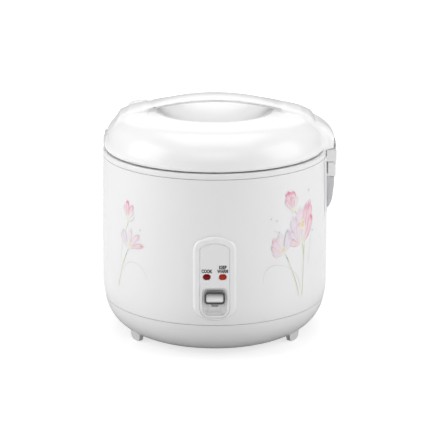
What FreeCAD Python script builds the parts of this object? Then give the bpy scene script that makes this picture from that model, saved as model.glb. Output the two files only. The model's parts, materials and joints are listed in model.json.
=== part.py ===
"""A one-lever rice cooker: round body, hinged domed lid with a carrying band, side latch and front lever.

Lengths are in millimetres. The frame stands on the floor with +Z up, the cook lever faces -Y, the latch is at
+X and the lid hinge at -X. The model is built about the axis of the round body, and each finished piece is
then moved by axis_shift so that the origin lies under the middle of the whole cooker.
"""
import FreeCAD
import Part
import math
import os
import Sketcher

Vector = FreeCAD.Vector
Rotation = FreeCAD.Rotation

# Driving dimensions: what each cell of the sheet holds.
SIZES = {
    # Round body, as radii from its axis and heights above the floor.
    "body_radius": 122.5,
    "body_bulge": 2.3,
    "seam_height": 208.0,
    "widest_height": 62.7,
    "side_arc": 115.4,
    "corner_arc": 43.0,
    "floor_gap": 2.8,
    "base_seam": 41.6,
    "ring_drop": 6.8,
    "joint_line": 0.6,
    "seat_gap": 0.1,
    "shell_wall": 2.2,
    "base_wall": 2.5,
    "ring_wall": 2.0,
    # Feet.
    "foot_inset": 22.5,
    "foot_width": 20.0,
    "foot_depth": 4.8,
    "foot_round": 7.0,
    # Pot and the case round it.
    "pot_space": 27.5,
    "case_space": 20.5,
    "case_wall": 0.8,
    "case_floor": 64.0,
    "pot_wall": 1.5,
    "pot_flange": 8.5,
    "pot_drop": 4.7,
    "support_height": 3.2,
    "plate_thickness": 11.5,
    "plate_inset": 13.0,
    "plate_hole": 19.5,
    "groove_radius": 62.0,
    "heater_tube": 3.6,
    "fit_gap": 0.3,
    # Lid.
    "lid_gap": 0.8,
    "lid_inset": 0.9,
    "lid_step": 3.6,
    "lid_undercut": 2.1,
    "lid_shoulder": 34.8,
    "lid_rise": 42.0,
    "lid_wall": 2.4,
    "dish_radius": 64.4,
    "dish_depth": 23.0,
    "band_width": 39.5,
    "band_top": 57.2,
    "band_fall": 16.196,
    "band_thickness": 6.6,
    "band_inset": 14.0,
    "vent_radius": 15.0,
    "vent_inset": 40.5,
    "vent_back": 44.0,
    "vent_rise": 41.0,
    # Hinge and latch.
    "hinge_inset": 5.5,
    "hinge_rise": 10.0,
    "hinge_pin": 2.5,
    "hinge_half": 18.0,
    "ear_width": 5.5,
    "hinge_coil": 5.0,
    "latch_reach": 10.9,
    "latch_half": 15.5,
    "latch_pin": 1.6,
    # Front panel and lever.
    "panel_width": 45.6,
    "panel_top": 140.8,
    "panel_foot": 48.0,
    "panel_crown": 15.2,
    "panel_corner": 12.0,
    "panel_rim": 4.2,
    "panel_stand": 3.2,
    "slot_half": 13.4,
    "slot_foot": 53.9,
    "slot_height": 30.1,
    "slot_corner": 4.5,
    "knob_width": 21.0,
    "knob_height": 12.6,
    "knob_rise": 13.3,
    "lamp_spacing": 16.8,
    "lamp_rise": 12.8,
    "lever_pivot": 50.0,
    "lever_drop": 14.0,
    # Power inlet.
    "inlet_half": 15.0,
    "inlet_level": 60.0,
}

DOC = FreeCAD.newDocument("rice_cooker")
SHEET = DOC.addObject("Spreadsheet::Sheet", "sizes")
PIECES = []
SIDEWAYS = {}


def fill_sheet():
    for row, (name, value) in enumerate(SIZES.items(), start=1):
        SHEET.set("A%d" % row, name)
        SHEET.set("B%d" % row, str(value))
        SHEET.setAlias("B%d" % row, name)
    DOC.recompute()


class Size:
    """A length together with the sheet formula that gives it."""

    def __init__(self, formula, value):
        self.formula = formula
        self.value = value

    def __add__(self, other):
        return joined(self, "+", other, lambda a, b: a + b)

    def __radd__(self, other):
        return joined(other, "+", self, lambda a, b: a + b)

    def __sub__(self, other):
        return joined(self, "-", other, lambda a, b: a - b)

    def __rsub__(self, other):
        return joined(other, "-", self, lambda a, b: a - b)

    def __mul__(self, other):
        return joined(self, "*", other, lambda a, b: a * b)

    def __rmul__(self, other):
        return joined(other, "*", self, lambda a, b: a * b)

    def __truediv__(self, other):
        return joined(self, "/", other, lambda a, b: a / b)

    def __neg__(self):
        return 0 - self


def as_size(length):
    if isinstance(length, Size):
        return length
    return Size("(%.6f)" % length, float(length))


def joined(left, sign, right, rule):
    left = as_size(left)
    right = as_size(right)
    formula = "(%s %s %s)" % (left.formula, sign, right.formula)
    return Size(formula, rule(left.value, right.value))


def root(size):
    return Size("sqrt(%s)" % size.formula, math.sqrt(size.value))


def cell(name):
    return Size("sizes." + name, float(SHEET.get(name)))


def bind(thing, path, length):
    thing.setExpression(path, as_size(length).formula)


# ---------------------------------------------------------------- solids from the sheet

def arc_centre(start, end, radius):
    """Centre of the shorter arc from start to end; a positive radius puts it left of the way travelled."""
    along = Vector(end[0] - start[0], end[1] - start[1], 0)
    height = math.sqrt(max(radius * radius - along.Length ** 2 / 4, 0))
    left = Vector(-along.y, along.x, 0).normalize()
    middle = Vector((start[0] + end[0]) / 2, (start[1] + end[1]) / 2, 0)
    return middle + left * math.copysign(height, radius)


def bound_sketch(body, name, role, corners):
    """A closed sketch whose corners follow the sheet.

    Each corner is (across, up) or (across, up, radius), where radius bends the edge that leaves it.
    """
    sketch = body.newObject("Sketcher::SketchObject", name)
    plane = [item for item in body.Origin.OriginFeatures if item.Role == role][0]
    sketch.AttachmentSupport = (plane, [""])
    sketch.MapMode = "FlatFace"
    places = [(as_size(corner[0]).value, as_size(corner[1]).value) for corner in corners]
    ends = []
    for index, corner in enumerate(corners):
        start = places[index]
        end = places[(index + 1) % len(corners)]
        if len(corner) < 3:
            sketch.addGeometry(Part.LineSegment(Vector(*start, 0), Vector(*end, 0)), False)
            ends.append((1, 2))
            continue
        radius = as_size(corner[2]).value
        centre = arc_centre(start, end, radius)
        circle = Part.Circle(centre, Vector(0, 0, 1), abs(radius))
        start_angle = math.atan2(start[1] - centre.y, start[0] - centre.x)
        end_angle = math.atan2(end[1] - centre.y, end[0] - centre.x)
        if radius < 0:
            start_angle, end_angle = end_angle, start_angle
        if end_angle < start_angle:
            end_angle += 2 * math.pi
        sketch.addGeometry(Part.ArcOfCircle(circle, start_angle, end_angle), False)
        ends.append((1, 2) if radius > 0 else (2, 1))
    for index in range(len(corners)):
        following = (index + 1) % len(corners)
        sketch.addConstraint(
            Sketcher.Constraint("Coincident", index, ends[index][1], following, ends[following][0]))
    for index, corner in enumerate(corners):
        point = ends[index][0]
        for kind, length in (("DistanceX", corner[0]), ("DistanceY", corner[1])):
            length = as_size(length)
            number = sketch.addConstraint(Sketcher.Constraint(kind, -1, 1, index, point, length.value))
            sketch.setExpression("Constraints[%d]" % number, length.formula)
        if len(corner) == 3:
            radius = as_size(corner[2])
            if radius.value < 0:
                radius = -radius
            number = sketch.addConstraint(Sketcher.Constraint("Radius", index, radius.value))
            sketch.setExpression("Constraints[%d]" % number, radius.formula)
    return sketch


def turned(name, corners):
    """A PartDesign body: the outline (radius, height) turned about the vertical axis."""
    body = DOC.addObject("PartDesign::Body", name)
    sketch = bound_sketch(body, name + "_outline", "XZ_Plane", corners)
    feature = body.newObject("PartDesign::Revolution", name + "_turn")
    feature.Profile = sketch
    feature.ReferenceAxis = (sketch, ["V_Axis"])
    feature.Angle = 360
    return body


def prism(name, role, corners, start, length):
    """A PartDesign body: an outline padded from start, along +X from YZ, -Y from XZ or +Z from XY."""
    body = DOC.addObject("PartDesign::Body", name)
    sketch = bound_sketch(body, name + "_outline", role, corners)
    offset = -as_size(start) if role == "XZ_Plane" else as_size(start)
    bind(sketch, "AttachmentOffset.Base.z", offset)
    pad = body.newObject("PartDesign::Pad", name + "_pad")
    pad.Profile = sketch
    bind(pad, "Length", length)
    return body


def on_circle(reach, angle):
    """The point at the radius reach and the angle in degrees, seen from above."""
    turn = math.radians(angle)
    return (reach * round(math.cos(turn), 6), reach * round(math.sin(turn), 6))


def place(thing, corner):
    for letter, length in zip("xyz", corner):
        bind(thing, "Placement.Base." + letter, length)
    SIDEWAYS[thing.Name] = corner[0]


def block(name, low, high):
    box = DOC.addObject("Part::Box", name)
    for side, bottom, top in zip(("Length", "Width", "Height"), low, high):
        bind(box, side, as_size(top) - bottom)
    place(box, low)
    return box


TURNS = {
    "X": Rotation(Vector(0, 1, 0), 90),
    "Y": Rotation(Vector(1, 0, 0), -90),
    "Z": Rotation(),
}


def rod(name, radius, start, length, along="Z"):
    cylinder = DOC.addObject("Part::Cylinder", name)
    bind(cylinder, "Radius", radius)
    bind(cylinder, "Height", length)
    cylinder.Placement = FreeCAD.Placement(Vector(), TURNS[along])
    place(cylinder, start)
    return cylinder


def tube(name, outer, inner, start, length, along="Z"):
    return cut(name, rod(name + "_solid", outer, start, length, along),
               rod(name + "_bore", inner, start, length, along))


def cut(name, base, *tools):
    for number, tool in enumerate(tools):
        feature = DOC.addObject("Part::Cut", "%s_cut_%d" % (name, number))
        feature.Base = base
        feature.Tool = tool
        base = feature
    return base


def fused(name, *things):
    feature = DOC.addObject("Part::MultiFuse", name)
    feature.Shapes = list(things)
    return feature


def shared(name, first, second):
    feature = DOC.addObject("Part::Common", name)
    feature.Base = first
    feature.Tool = second
    return feature


def group(name, things):
    feature = DOC.addObject("Part::Compound", name)
    feature.Links = list(things)
    return feature


def rounded(name, base, radius, wanted):
    """Fillet the edges of base that the test wanted picks."""
    DOC.recompute()
    feature = DOC.addObject("Part::Fillet", name)
    feature.Base = base
    feature.Edges = [(number, radius, radius)
                     for number, edge in enumerate(base.Shape.Edges, start=1) if wanted(edge)]
    return feature


def shaped(name, shape):
    """A piece that no feature makes: a coil or a run of wire."""
    feature = DOC.addObject("Part::Feature", name)
    feature.Shape = shape
    SIDEWAYS[feature.Name] = shape.Placement.Base.x
    return feature


def piece(node, thing):
    """Name a finished sub-part and move it from the body's axis to the cooker's frame."""
    thing.Label = node
    bind(thing, "Placement.Base.x", AXIS_SHIFT + SIDEWAYS.get(thing.Name, 0))
    PIECES.append((node, thing))
    return thing


def coil_shape(radius, wire, height, turns, start, along="Z"):
    """A spring: a round wire swept along a helix of quarter-turn arcs from start to height further on."""
    quarters = turns * 4

    def spot(quarter):
        turn = quarter * math.pi / 2
        return Vector(radius * math.cos(turn), radius * math.sin(turn), height * quarter / quarters)

    edges = [Part.Arc(spot(number), spot(number + 0.5), spot(number + 1)).toShape()
             for number in range(quarters)]
    direction = edges[0].tangentAt(edges[0].FirstParameter)
    section = Part.Wire(Part.makeCircle(wire, spot(0), direction).Edges)
    shape = Part.Wire(edges).makePipeShell([section], True, False)
    shape.Placement = FreeCAD.Placement(Vector(*start), TURNS[along])
    return shape


def wire_shape(points, radius, bend):
    """An insulated wire: straight runs joined by arcs of the radius bend."""
    edges = []
    last = Vector(*points[0])
    for number in range(1, len(points) - 1):
        corner = Vector(*points[number])
        back = (Vector(*points[number - 1]) - corner).normalize()
        ahead = (Vector(*points[number + 1]) - corner).normalize()
        half = back.getAngle(ahead) / 2
        reach = bend / math.tan(half)
        begin = corner + back * reach
        finish = corner + ahead * reach
        inward = (back + ahead).normalize()
        middle = corner + inward * (bend / math.sin(half) - bend)
        edges.append(Part.LineSegment(last, begin).toShape())
        edges.append(Part.Arc(begin, middle, finish).toShape())
        last = finish
    edges.append(Part.LineSegment(last, Vector(*points[-1])).toShape())
    path = Part.Wire(edges)
    direction = Vector(*points[1]) - Vector(*points[0])
    section = Part.Wire(Part.makeCircle(radius, Vector(*points[0]), direction).Edges)
    return path.makePipeShell([section], True, True)


# ---------------------------------------------------------------- shared measures

fill_sheet()

BODY = cell("body_radius")
WIDEST = BODY + cell("body_bulge")
SEAM = cell("seam_height")
WIDE_LEVEL = cell("widest_height")
SIDE_ARC = cell("side_arc")
CORNER_ARC = cell("corner_arc")
FLOOR_GAP = cell("floor_gap")
GAP = cell("fit_gap")
SEAT = cell("seat_gap")
LINE = cell("joint_line")
PLATE = cell("case_floor") + cell("case_wall") + cell("support_height")
LEVER = cell("case_floor") - cell("lever_drop")
KNOB_FOOT = cell("slot_foot") + cell("knob_rise")
SLOT_TOP = cell("slot_foot") + cell("slot_height")
LAMPS = SLOT_TOP + cell("lamp_rise")
AXIS_SHIFT = (WIDEST - BODY - cell("latch_reach")) / 2

# The wall above the widest level is one long arc that is upright there.
WALL_ARC = ((SEAM - WIDE_LEVEL) * (SEAM - WIDE_LEVEL) / cell("body_bulge") + cell("body_bulge")) / 2
# Below it come the side arc and the corner arc, tangent to each other and to the flat underside.
SIDE_CENTRE = WIDEST - SIDE_ARC
CORNER_LEVEL = FLOOR_GAP + CORNER_ARC
CORNER_FALL = WIDE_LEVEL - CORNER_LEVEL
CORNER_CENTRE = SIDE_CENTRE + root(
    (SIDE_ARC - CORNER_ARC) * (SIDE_ARC - CORNER_ARC) - CORNER_FALL * CORNER_FALL)


def wall_radius(level, inset=0):
    """Radius of the body at a level above the widest one, less an inset."""
    arc = WALL_ARC - inset
    return WIDEST - WALL_ARC + root(arc * arc - (level - WIDE_LEVEL) * (level - WIDE_LEVEL))


def side_radius(level, inset=0):
    """Radius of the body at a level on the side arc, less an inset."""
    arc = SIDE_ARC - inset
    return SIDE_CENTRE + root(arc * arc - (WIDE_LEVEL - level) * (WIDE_LEVEL - level))


def body_envelope(name, offset):
    """The filled body between the base seam and the rim line, its wall moved out by offset."""
    low = cell("base_seam")
    high = SEAM + 2
    return turned(name, [
        (0, low), (side_radius(low, -offset), low, SIDE_ARC + offset),
        (WIDEST + offset, WIDE_LEVEL, WALL_ARC + offset), (wall_radius(high, -offset), high),
        (0, high)])


# ---------------------------------------------------------------- body

def outer_shell():
    low = cell("base_seam") + LINE / 2
    high = SEAM - cell("ring_drop") - LINE / 2
    wall = cell("shell_wall")
    shell = turned("shell", [
        (side_radius(low), low, SIDE_ARC), (WIDEST, WIDE_LEVEL, WALL_ARC),
        (wall_radius(high), high), (wall_radius(high, wall), high, -(WALL_ARC - wall)),
        (WIDEST - wall, WIDE_LEVEL, -(SIDE_ARC - wall)), (side_radius(low, wall), low)])
    slot = cell("slot_half")
    lever_window = block("lever_window", (-slot - 1.5, -WIDEST - 2, cell("slot_foot") - 2),
                         (slot + 1.5, -BODY + 14, SLOT_TOP + 2))
    lamp_window = block("lamp_window", (-14, -WIDEST - 2, LAMPS - 5),
                        (14, -BODY + 14, LAMPS + 5))
    half = cell("latch_half") + 3
    latch_window = block("latch_window", (BODY - 14, -half, SEAM - 69.5), (WIDEST + 2, half, SEAM - 13))
    inlet_half = cell("inlet_half")
    inlet_window = block("inlet_window", (-inlet_half - 0.2, BODY - 14, cell("inlet_level") - 12.2),
                         (inlet_half + 0.2, WIDEST + 2, cell("inlet_level") + 12.2))
    piece("outer_shell", cut("outer_shell", shell, lever_window, lamp_window, latch_window, inlet_window))


def base_outline(inset):
    """The underside: from the axis out to the tangent of the corner arc, then up to the base seam."""
    inset = as_size(inset)
    share = (SIDE_ARC - inset) / (SIDE_ARC - CORNER_ARC)
    tangent = (SIDE_CENTRE + (CORNER_CENTRE - SIDE_CENTRE) * share, WIDE_LEVEL - CORNER_FALL * share)
    return [(CORNER_CENTRE, FLOOR_GAP + inset, CORNER_ARC - inset), (*tangent, SIDE_ARC - inset)]


def base_cover():
    top = cell("base_seam") - LINE / 2
    wall = cell("base_wall")
    lip = side_radius(cell("base_seam"), cell("shell_wall")) - GAP - 0.1
    flat, corner = base_outline(0)
    inner_flat, inner_corner = base_outline(wall)
    body = turned("base", [
        (0, FLOOR_GAP), flat, corner, (side_radius(top), top), (lip, top), (lip, top + 4),
        (lip - 1.5, top + 4), (lip - 1.5, top - 1.5),
        (side_radius(top - 1.5, wall), top - 1.5, -(SIDE_ARC - wall)),
        (inner_corner[0], inner_corner[1], -(CORNER_ARC - wall)), (inner_flat[0], inner_flat[1]),
        (0, FLOOR_GAP + wall)])
    DOC.recompute()
    slots = bound_sketch(body, "slot_outline", "XY_Plane", [(30, -1.6), (58, -1.6), (58, 1.6), (30, 1.6)])
    pocket = body.newObject("PartDesign::Pocket", "slot_pocket")
    pocket.Profile = slots
    pocket.Type = "ThroughAll"
    pocket.Midplane = True
    pattern = body.newObject("PartDesign::PolarPattern", "slot_pattern")
    pattern.Originals = [pocket]
    pattern.Axis = (slots, ["N_Axis"])
    pattern.Angle = 360
    pattern.Occurrences = 18
    body.Tip = pattern
    holes = [rod("screw_hole_%d" % number, 2.2, (*spot, 0), 10)
             for number, spot in enumerate(post_places())]
    piece("base_cover", cut("base_cover", body, *holes))


def post_places():
    """Where the three case posts stand: on one circle, a third of a turn apart."""
    return [on_circle(CORNER_CENTRE - 6, angle) for angle in (90, 210, 330)]


def case_posts():
    floor = FLOOR_GAP + cell("base_wall")
    posts = []
    for number, spot in enumerate(post_places()):
        post = rod("post_%d" % number, 5, (*spot, floor), cell("case_floor") - floor)
        hole = rod("post_hole_%d" % number, 1.7, (*spot, floor), 14)
        posts.append(cut("post_bore_%d" % number, post, hole))
    piece("case_posts", group("posts", posts))


def base_screws():
    floor = FLOOR_GAP + cell("base_wall")
    screws = []
    for number, spot in enumerate(post_places()):
        head = rod("screw_head_%d" % number, 3.6, (*spot, FLOOR_GAP - 1.2), 1.2)
        shank = rod("screw_shank_%d" % number, 1.65, (*spot, FLOOR_GAP - 0.2), floor + 11 - FLOOR_GAP)
        screws.append(fused("screw_%d" % number, head, shank))
    piece("base_screws", group("base_screw_set", screws))


def feet():
    reach = BODY - cell("foot_inset")
    width = cell("foot_width")
    depth = cell("foot_depth")
    bend = cell("foot_round")
    flat, corner = base_outline(-SEAT)
    blocks = []
    for number, angle in enumerate((-149, -31, 31, 149)):
        stem = prism("foot_%d" % number, "XZ_Plane", [
            (-width / 2, bend, bend), (bend - width / 2, 0), (width / 2 - bend, 0, bend),
            (width / 2, bend),
            (width / 2, 24), (-width / 2, 24)], depth / 2, depth)
        stem.Placement = FreeCAD.Placement(Vector(), Rotation(Vector(0, 0, 1), angle + 90))
        across, back = on_circle(reach, angle)
        bind(stem, "Placement.Base.x", across)
        bind(stem, "Placement.Base.y", back)
        underside = turned("foot_seat_%d" % number, [
            (0, FLOOR_GAP - SEAT), flat, (corner[0], corner[1]), (0, corner[1])])
        blocks.append(cut("foot_trim_%d" % number, stem, underside))
    piece("feet", group("foot_set", blocks))


def top_ring():
    top = SEAM - cell("lid_gap")
    low = SEAM - cell("ring_drop") + LINE / 2
    shelf = SEAM - cell("pot_drop") - GAP
    wall = cell("ring_wall")
    case = BODY - cell("case_space")
    skirt = wall_radius(low, cell("shell_wall")) - GAP
    shelf_edge = BODY - 7.5
    piece("top_ring", turned("ring", [
        (case - 3.2, shelf - 7), (case - 1.1, shelf - 7), (case - 1.1, shelf - wall),
        (skirt - 2, shelf - wall),
        (skirt - 2, low - 6), (skirt, low - 6), (skirt, low), (wall_radius(low), low),
        (wall_radius(low), top - 0.9, 0.9), (wall_radius(low) - 0.9, top), (shelf_edge + 1.5, top),
        (shelf_edge, shelf), (case - 3.2, shelf)]))


def inner_case():
    outer = BODY - cell("case_space")
    wall = cell("case_wall")
    low = cell("case_floor")
    top = SEAM - cell("pot_drop") - GAP - cell("ring_wall")
    cup = turned("case", [
        (26, low), (outer - 4, low, 4), (outer, low + 4), (outer, top - wall), (outer + 10, top - wall),
        (outer + 10, top), (outer - wall, top), (outer - wall, low + 4, -(4 - wall)),
        (outer - 4, low + wall), (26, low + wall)])
    holes = [rod("terminal_hole_%d" % number, 5, (*spot, low - 1), wall + 2)
             for number, spot in enumerate(terminal_places())]
    piece("inner_case", cut("inner_case", cup, *holes))


def inner_pot():
    outer = BODY - cell("pot_space")
    wall = cell("pot_wall")
    low = PLATE + cell("plate_thickness") + GAP
    rim = SEAM - cell("pot_drop")
    flange = outer + cell("pot_flange")
    piece("inner_pot", turned("pot", [
        (0, low), (outer - 14, low, 14), (outer, low + 14), (outer, rim), (flange - wall, rim),
        (flange, rim + 0.8),
        (flange - 0.8, rim + wall), (outer, rim + wall, 2), (outer - wall, rim - 0.4),
        (outer - wall, low + 14, -(14 - wall)), (outer - 14, low + wall), (0, low + wall)]))


# ---------------------------------------------------------------- heating

def terminal_places():
    return [on_circle(cell("groove_radius"), angle) for angle in (75, 105)]


def heating_plate():
    low = PLATE
    top = low + cell("plate_thickness")
    rim = BODY - cell("pot_space") - cell("plate_inset")
    groove = cell("groove_radius")
    tube_radius = cell("heater_tube")
    hole = cell("plate_hole")
    piece("heating_plate", turned("plate", [
        (hole, low), (groove - tube_radius, low), (groove - tube_radius, low + 2 * tube_radius),
        (groove + tube_radius, low + 2 * tube_radius), (groove + tube_radius, low), (rim - 3, low),
        (rim, low + 3),
        (rim, top - 3, 3), (rim - 3, top), (hole, top)]))


def plate_supports():
    low = cell("case_floor") + cell("case_wall")
    reach = cell("groove_radius") - 18
    posts = []
    for number, angle in enumerate((30, 150, 270)):
        posts.append(rod("support_%d" % number, 4, (*on_circle(reach, angle), low), PLATE - low))
    piece("plate_supports", group("support_set", posts))


def heater_element():
    ring = DOC.addObject("Part::Torus", "heater_ring")
    bind(ring, "Radius1", cell("groove_radius"))
    bind(ring, "Radius2", cell("heater_tube") - 0.05)
    ring.Angle3 = 330
    ring.Placement = FreeCAD.Placement(Vector(), Rotation(Vector(0, 0, 1), 105))
    bind(ring, "Placement.Base.z", PLATE + cell("heater_tube"))
    piece("heater_element", ring)


def heater_terminals():
    low = cell("case_floor") - 12
    pins = [rod("terminal_%d" % number, 2.2, (*spot, low), PLATE - low)
            for number, spot in enumerate(terminal_places())]
    piece("heater_terminals", group("terminal_set", pins))


def sensor_housing():
    top = PLATE
    hole = cell("plate_hole")
    low = top - 6
    piece("sensor_housing", turned("sensor_cup", [
        (7, low), (hole - 0.6, low), (hole - 0.6, top - 1), (hole + 4, top - 1), (hole + 4, top),
        (hole - 1.8, top),
        (hole - 1.8, low + 1.5), (7, low + 1.5)]))


def sensor_cap():
    top = PLATE + cell("plate_thickness")
    radius = cell("plate_hole") - 2.2
    piece("sensor_cap", turned("cap", [
        (0, top - 3.2), (radius - 1.6, top - 3.2), (radius - 1.6, top - 9), (radius, top - 9),
        (radius, top - 1, 1),
        (radius - 1, top), (0, top)]))


def sensor_spring():
    low = PLATE.value - 6 + 1.5
    top = PLATE.value + cell("plate_thickness").value - 3.2
    shape = coil_shape(12.6, 0.5, top - low - 1.4, 5, (0, 0, low + 0.7))
    piece("sensor_spring", shaped("sensor_coil", shape))


def magnet_plunger():
    foot = LEVER + 2.5 + GAP
    low = PLATE - 3.8
    piece("magnet_plunger", turned("plunger", [
        (0, foot), (1.5, foot), (5.5, foot + 2.5), (5.5, low), (10, low), (10, low + 3.6),
        (0, low + 3.6)]))


def side_heater_band():
    inner = BODY - cell("case_space")
    low = cell("case_floor") + 74
    piece("side_heater_band", tube("side_band", inner + 0.9, inner, (0, 0, low), 26))


def keep_warm_thermostat():
    top = cell("case_floor")
    body = rod("thermostat_can", 8, (44, 30, top - 7), 7)
    stem = block("thermostat_tabs", (41, 22.5, top - 15), (47, 37.5, top - 6))
    piece("keep_warm_thermostat", fused("thermostat", body, stem))


def thermal_fuse():
    top = cell("case_floor")
    body = rod("fuse_can", 2.2, (-52, 22, top - 2.2), 24, "Y")
    piece("thermal_fuse", body)


# ---------------------------------------------------------------- cook lever and panel

def lever_arm():
    """The rocker: in through the well, down behind the shell and along under the case to the plunger."""
    level = LEVER
    stem = KNOB_FOOT + 5
    front = -WIDEST + 3.5
    inner = BODY - cell("case_space") + 5
    arm = prism("arm", "YZ_Plane", [
        (front, stem), (-inner - 3, stem), (-inner, level - 1.5), (-cell("lever_pivot") - 4, level - 4.5),
        (4 - cell("lever_pivot"), level - 4.5), (4, level - 1.5), (4, level + 2.5),
        (-inner + 3.5, level + 2.5), (-inner + 1.5, stem + 4.5), (front, stem + 4.5)], -3, 6)
    bore = rod("arm_bore", 2.05, (-5, -cell("lever_pivot"), level), 10, "X")
    piece("lever_arm", cut("arm_bored", arm, bore))


def lever_knob():
    width = cell("knob_width")
    low = KNOB_FOOT
    high = low + cell("knob_height")
    front = -WIDEST - 3.4
    back = -WIDEST + 3.5
    bend = 3.0
    half = width / 2
    solid = prism("knob_block", "XZ_Plane", [
        (-half, low + bend, bend), (bend - half, low), (half - bend, low, bend), (half, low + bend),
        (half, high - bend, bend), (half - bend, high), (bend - half, high, bend), (-half, high - bend)],
        back, back - front)
    soft = rounded("knob_soft", solid, 1.6, lambda edge: edge.CenterOfMass.y < front.value + 0.5)
    piece("lever_knob", soft)


def lever_bracket():
    top = cell("case_floor")
    level = LEVER
    across = cell("lever_pivot")
    plates = [block("bracket_side_%d" % number, (x, -across - 7, level - 5.5), (x + 1.2, 7 - across, top))
              for number, x in enumerate((-5.2, 4.0))]
    flanges = [block("bracket_flange_%d" % number, (x, -across - 7, top - 1.2), (x + 8, 7 - across, top))
               for number, x in enumerate((-12.0, 4.0))]
    frame = fused("bracket_frame", *plates, *flanges)
    bore = rod("bracket_bore", 2.05, (-15, -across, level), 30, "X")
    piece("lever_bracket", cut("lever_bracket", frame, bore))


def lever_pin():
    piece("lever_pivot_pin", rod("lever_pin", 2.0, (-7.5, -cell("lever_pivot"), LEVER), 15, "X"))


def microswitch():
    top = cell("case_floor")
    across = cell("lever_pivot") + 24
    body = block("switch_body", (6, -across - 10, top - 12), (12.4, 10 - across, top - 0.3))
    tabs = [block("switch_tab_%d" % number, (8, y - across, top - 17), (9, y + 3 - across, top - 12))
            for number, y in enumerate((-8, -1.5, 5))]
    piece("microswitch", fused("switch", body, *tabs))


def panel_outline(inset):
    """Upright sides, each end closed by a flat crown arc between two corner arcs, all moved in by inset."""
    half = cell("panel_width") / 2
    corner = cell("panel_corner")
    crown = cell("panel_crown")
    top = cell("panel_top") - crown
    low = cell("panel_foot") + crown
    across = half - corner
    big = (across * across + crown * crown - corner * corner) / ((crown - corner) * 2)
    share = (big - inset) / (big - corner)
    reach = across * share
    rise = crown - big + (big - crown) * share
    side = half - inset
    bend = corner - inset
    return [(side, top, bend), (reach, top + rise, big - inset), (-reach, top + rise, bend), (-side, top),
            (-side, low, bend), (-reach, low - rise, big - inset), (reach, low - rise, bend), (side, low)]


def on_wall(name, inset, stand):
    """A plate of the panel's outline that stands out from the body's wall by stand."""
    plug = prism(name + "_plug", "XZ_Plane", panel_outline(inset), -BODY + 12, 22)
    return shared(name, plug, body_envelope(name + "_front", stand))


def panel_bezel():
    rim = cell("panel_rim")
    outer = on_wall("bezel_full", 0, cell("panel_stand"))
    inner = prism("bezel_inner", "XZ_Plane", panel_outline(rim), -BODY + 14, 26)
    piece("panel_bezel", cut("bezel", outer, inner, body_envelope("bezel_seat", SEAT)))


def panel_face():
    rim = cell("panel_rim")
    face = on_wall("face_full", rim + 0.05, cell("panel_stand") - 1.7)
    opening = slot_plug("slot_opening", 0, -BODY + 14, 26)
    lenses = [lens_plug("face_lens_%d" % number, side, 0.1, -BODY + 14, 26)
              for number, side in enumerate((-1, 1))]
    piece("panel_face", cut("face", face, body_envelope("face_seat", SEAT), opening, *lenses))


def lens_plug(name, side, ease, start, length):
    across = cell("lamp_spacing") / 2 * side
    level = LAMPS
    high = 3.1 + ease
    flat = 0.9
    return prism(name, "XZ_Plane", [
        (across - flat, level - high), (across + flat, level - high, high),
        (across + flat + high, level, high),
        (across + flat, level + high), (across - flat, level + high, high),
        (across - flat - high, level, high)],
        start, length)


def slot_plug(name, ease, start, length):
    """The lever slot's rounded outline, moved out by ease and padded forwards from start."""
    side = cell("slot_half") + ease
    low = cell("slot_foot") - ease
    high = SLOT_TOP + ease
    bend = cell("slot_corner") + ease
    return prism(name, "XZ_Plane", [
        (side, high - bend, bend), (side - bend, high), (bend - side, high, bend), (-side, high - bend),
        (-side, low + bend, bend), (bend - side, low), (side - bend, low, bend),
        (side, low + bend)], start, length)


def lamp_lens(node, side):
    front = body_envelope(node + "_front", cell("panel_stand") - 1.1)
    plug = lens_plug(node + "_plug", side, 0, -BODY + 6, 16)
    piece(node, shared(node, plug, front))


def lever_well():
    back = -BODY + 9.5
    full = slot_plug("well_full", 1.2, back, 14)
    hollow = slot_plug("well_hollow", 0, back - 1.5, 20)
    door = block("well_door", (-4.2, -WIDEST - 9, KNOB_FOOT - 5), (4.2, back + 2, KNOB_FOOT + 10.8))
    front = body_envelope("well_front", 0)
    piece("lever_well", cut("lever_well", shared("well_trim", full, front), hollow, door))


def lamp_board():
    back = -BODY + 18
    level = LAMPS
    board = block("board", (-17, back - 1.6, level - 8), (17, back, level + 10))
    piece("lamp_board", board)


def neon_lamps():
    lens_back = -BODY + 6
    board = -BODY + 18 - 1.6
    level = LAMPS
    lamps = [rod("neon_%d" % number, 2.2, (cell("lamp_spacing") / 2 * side, lens_back + GAP, level),
                 board - lens_back - GAP, "Y") for number, side in enumerate((-1, 1))]
    piece("neon_lamps", group("neon_set", lamps))


# ---------------------------------------------------------------- power inlet

def power_inlet():
    half = cell("inlet_half")
    level = cell("inlet_level")
    plate = prism("inlet_plate", "XZ_Plane", [
        (-half - 5, level - 17), (half + 5, level - 17), (half + 5, level + 17), (-half - 5, level + 17)],
        WIDEST + 6, 20)
    flange = cut("inlet_flange", shared("inlet_curve", plate, body_envelope("inlet_front", 1.4)),
                 body_envelope("inlet_seat", SEAT))
    housing = block("inlet_housing", (-half, BODY - 16, level - 12), (half, WIDEST - 1, level + 12))
    outside = body_envelope("inlet_outside", 1.4)
    whole = shared("inlet_whole_trim", fused("inlet_whole", housing, flange), outside)
    socket = block("inlet_socket", (2.6 - half, BODY - 14, level - 8.6),
                   (half - 2.6, WIDEST + 9, level + 8.6))
    piece("power_inlet", cut("power_inlet", whole, socket, group("inlet_pin_holes", pin_blocks("hole"))))


def pin_blocks(name):
    """The three flat pins of the inlet, from behind its back wall to inside its socket."""
    level = cell("inlet_level")
    pins = []
    for number, (across, up) in enumerate(((-7, -2), (7, -2), (0, 2.5))):
        pins.append(block("inlet_%s_%d" % (name, number), (across - 1, BODY - 18.5, up + level - 2),
                          (across + 1, BODY - 4, up + level + 2)))
    return pins


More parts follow.
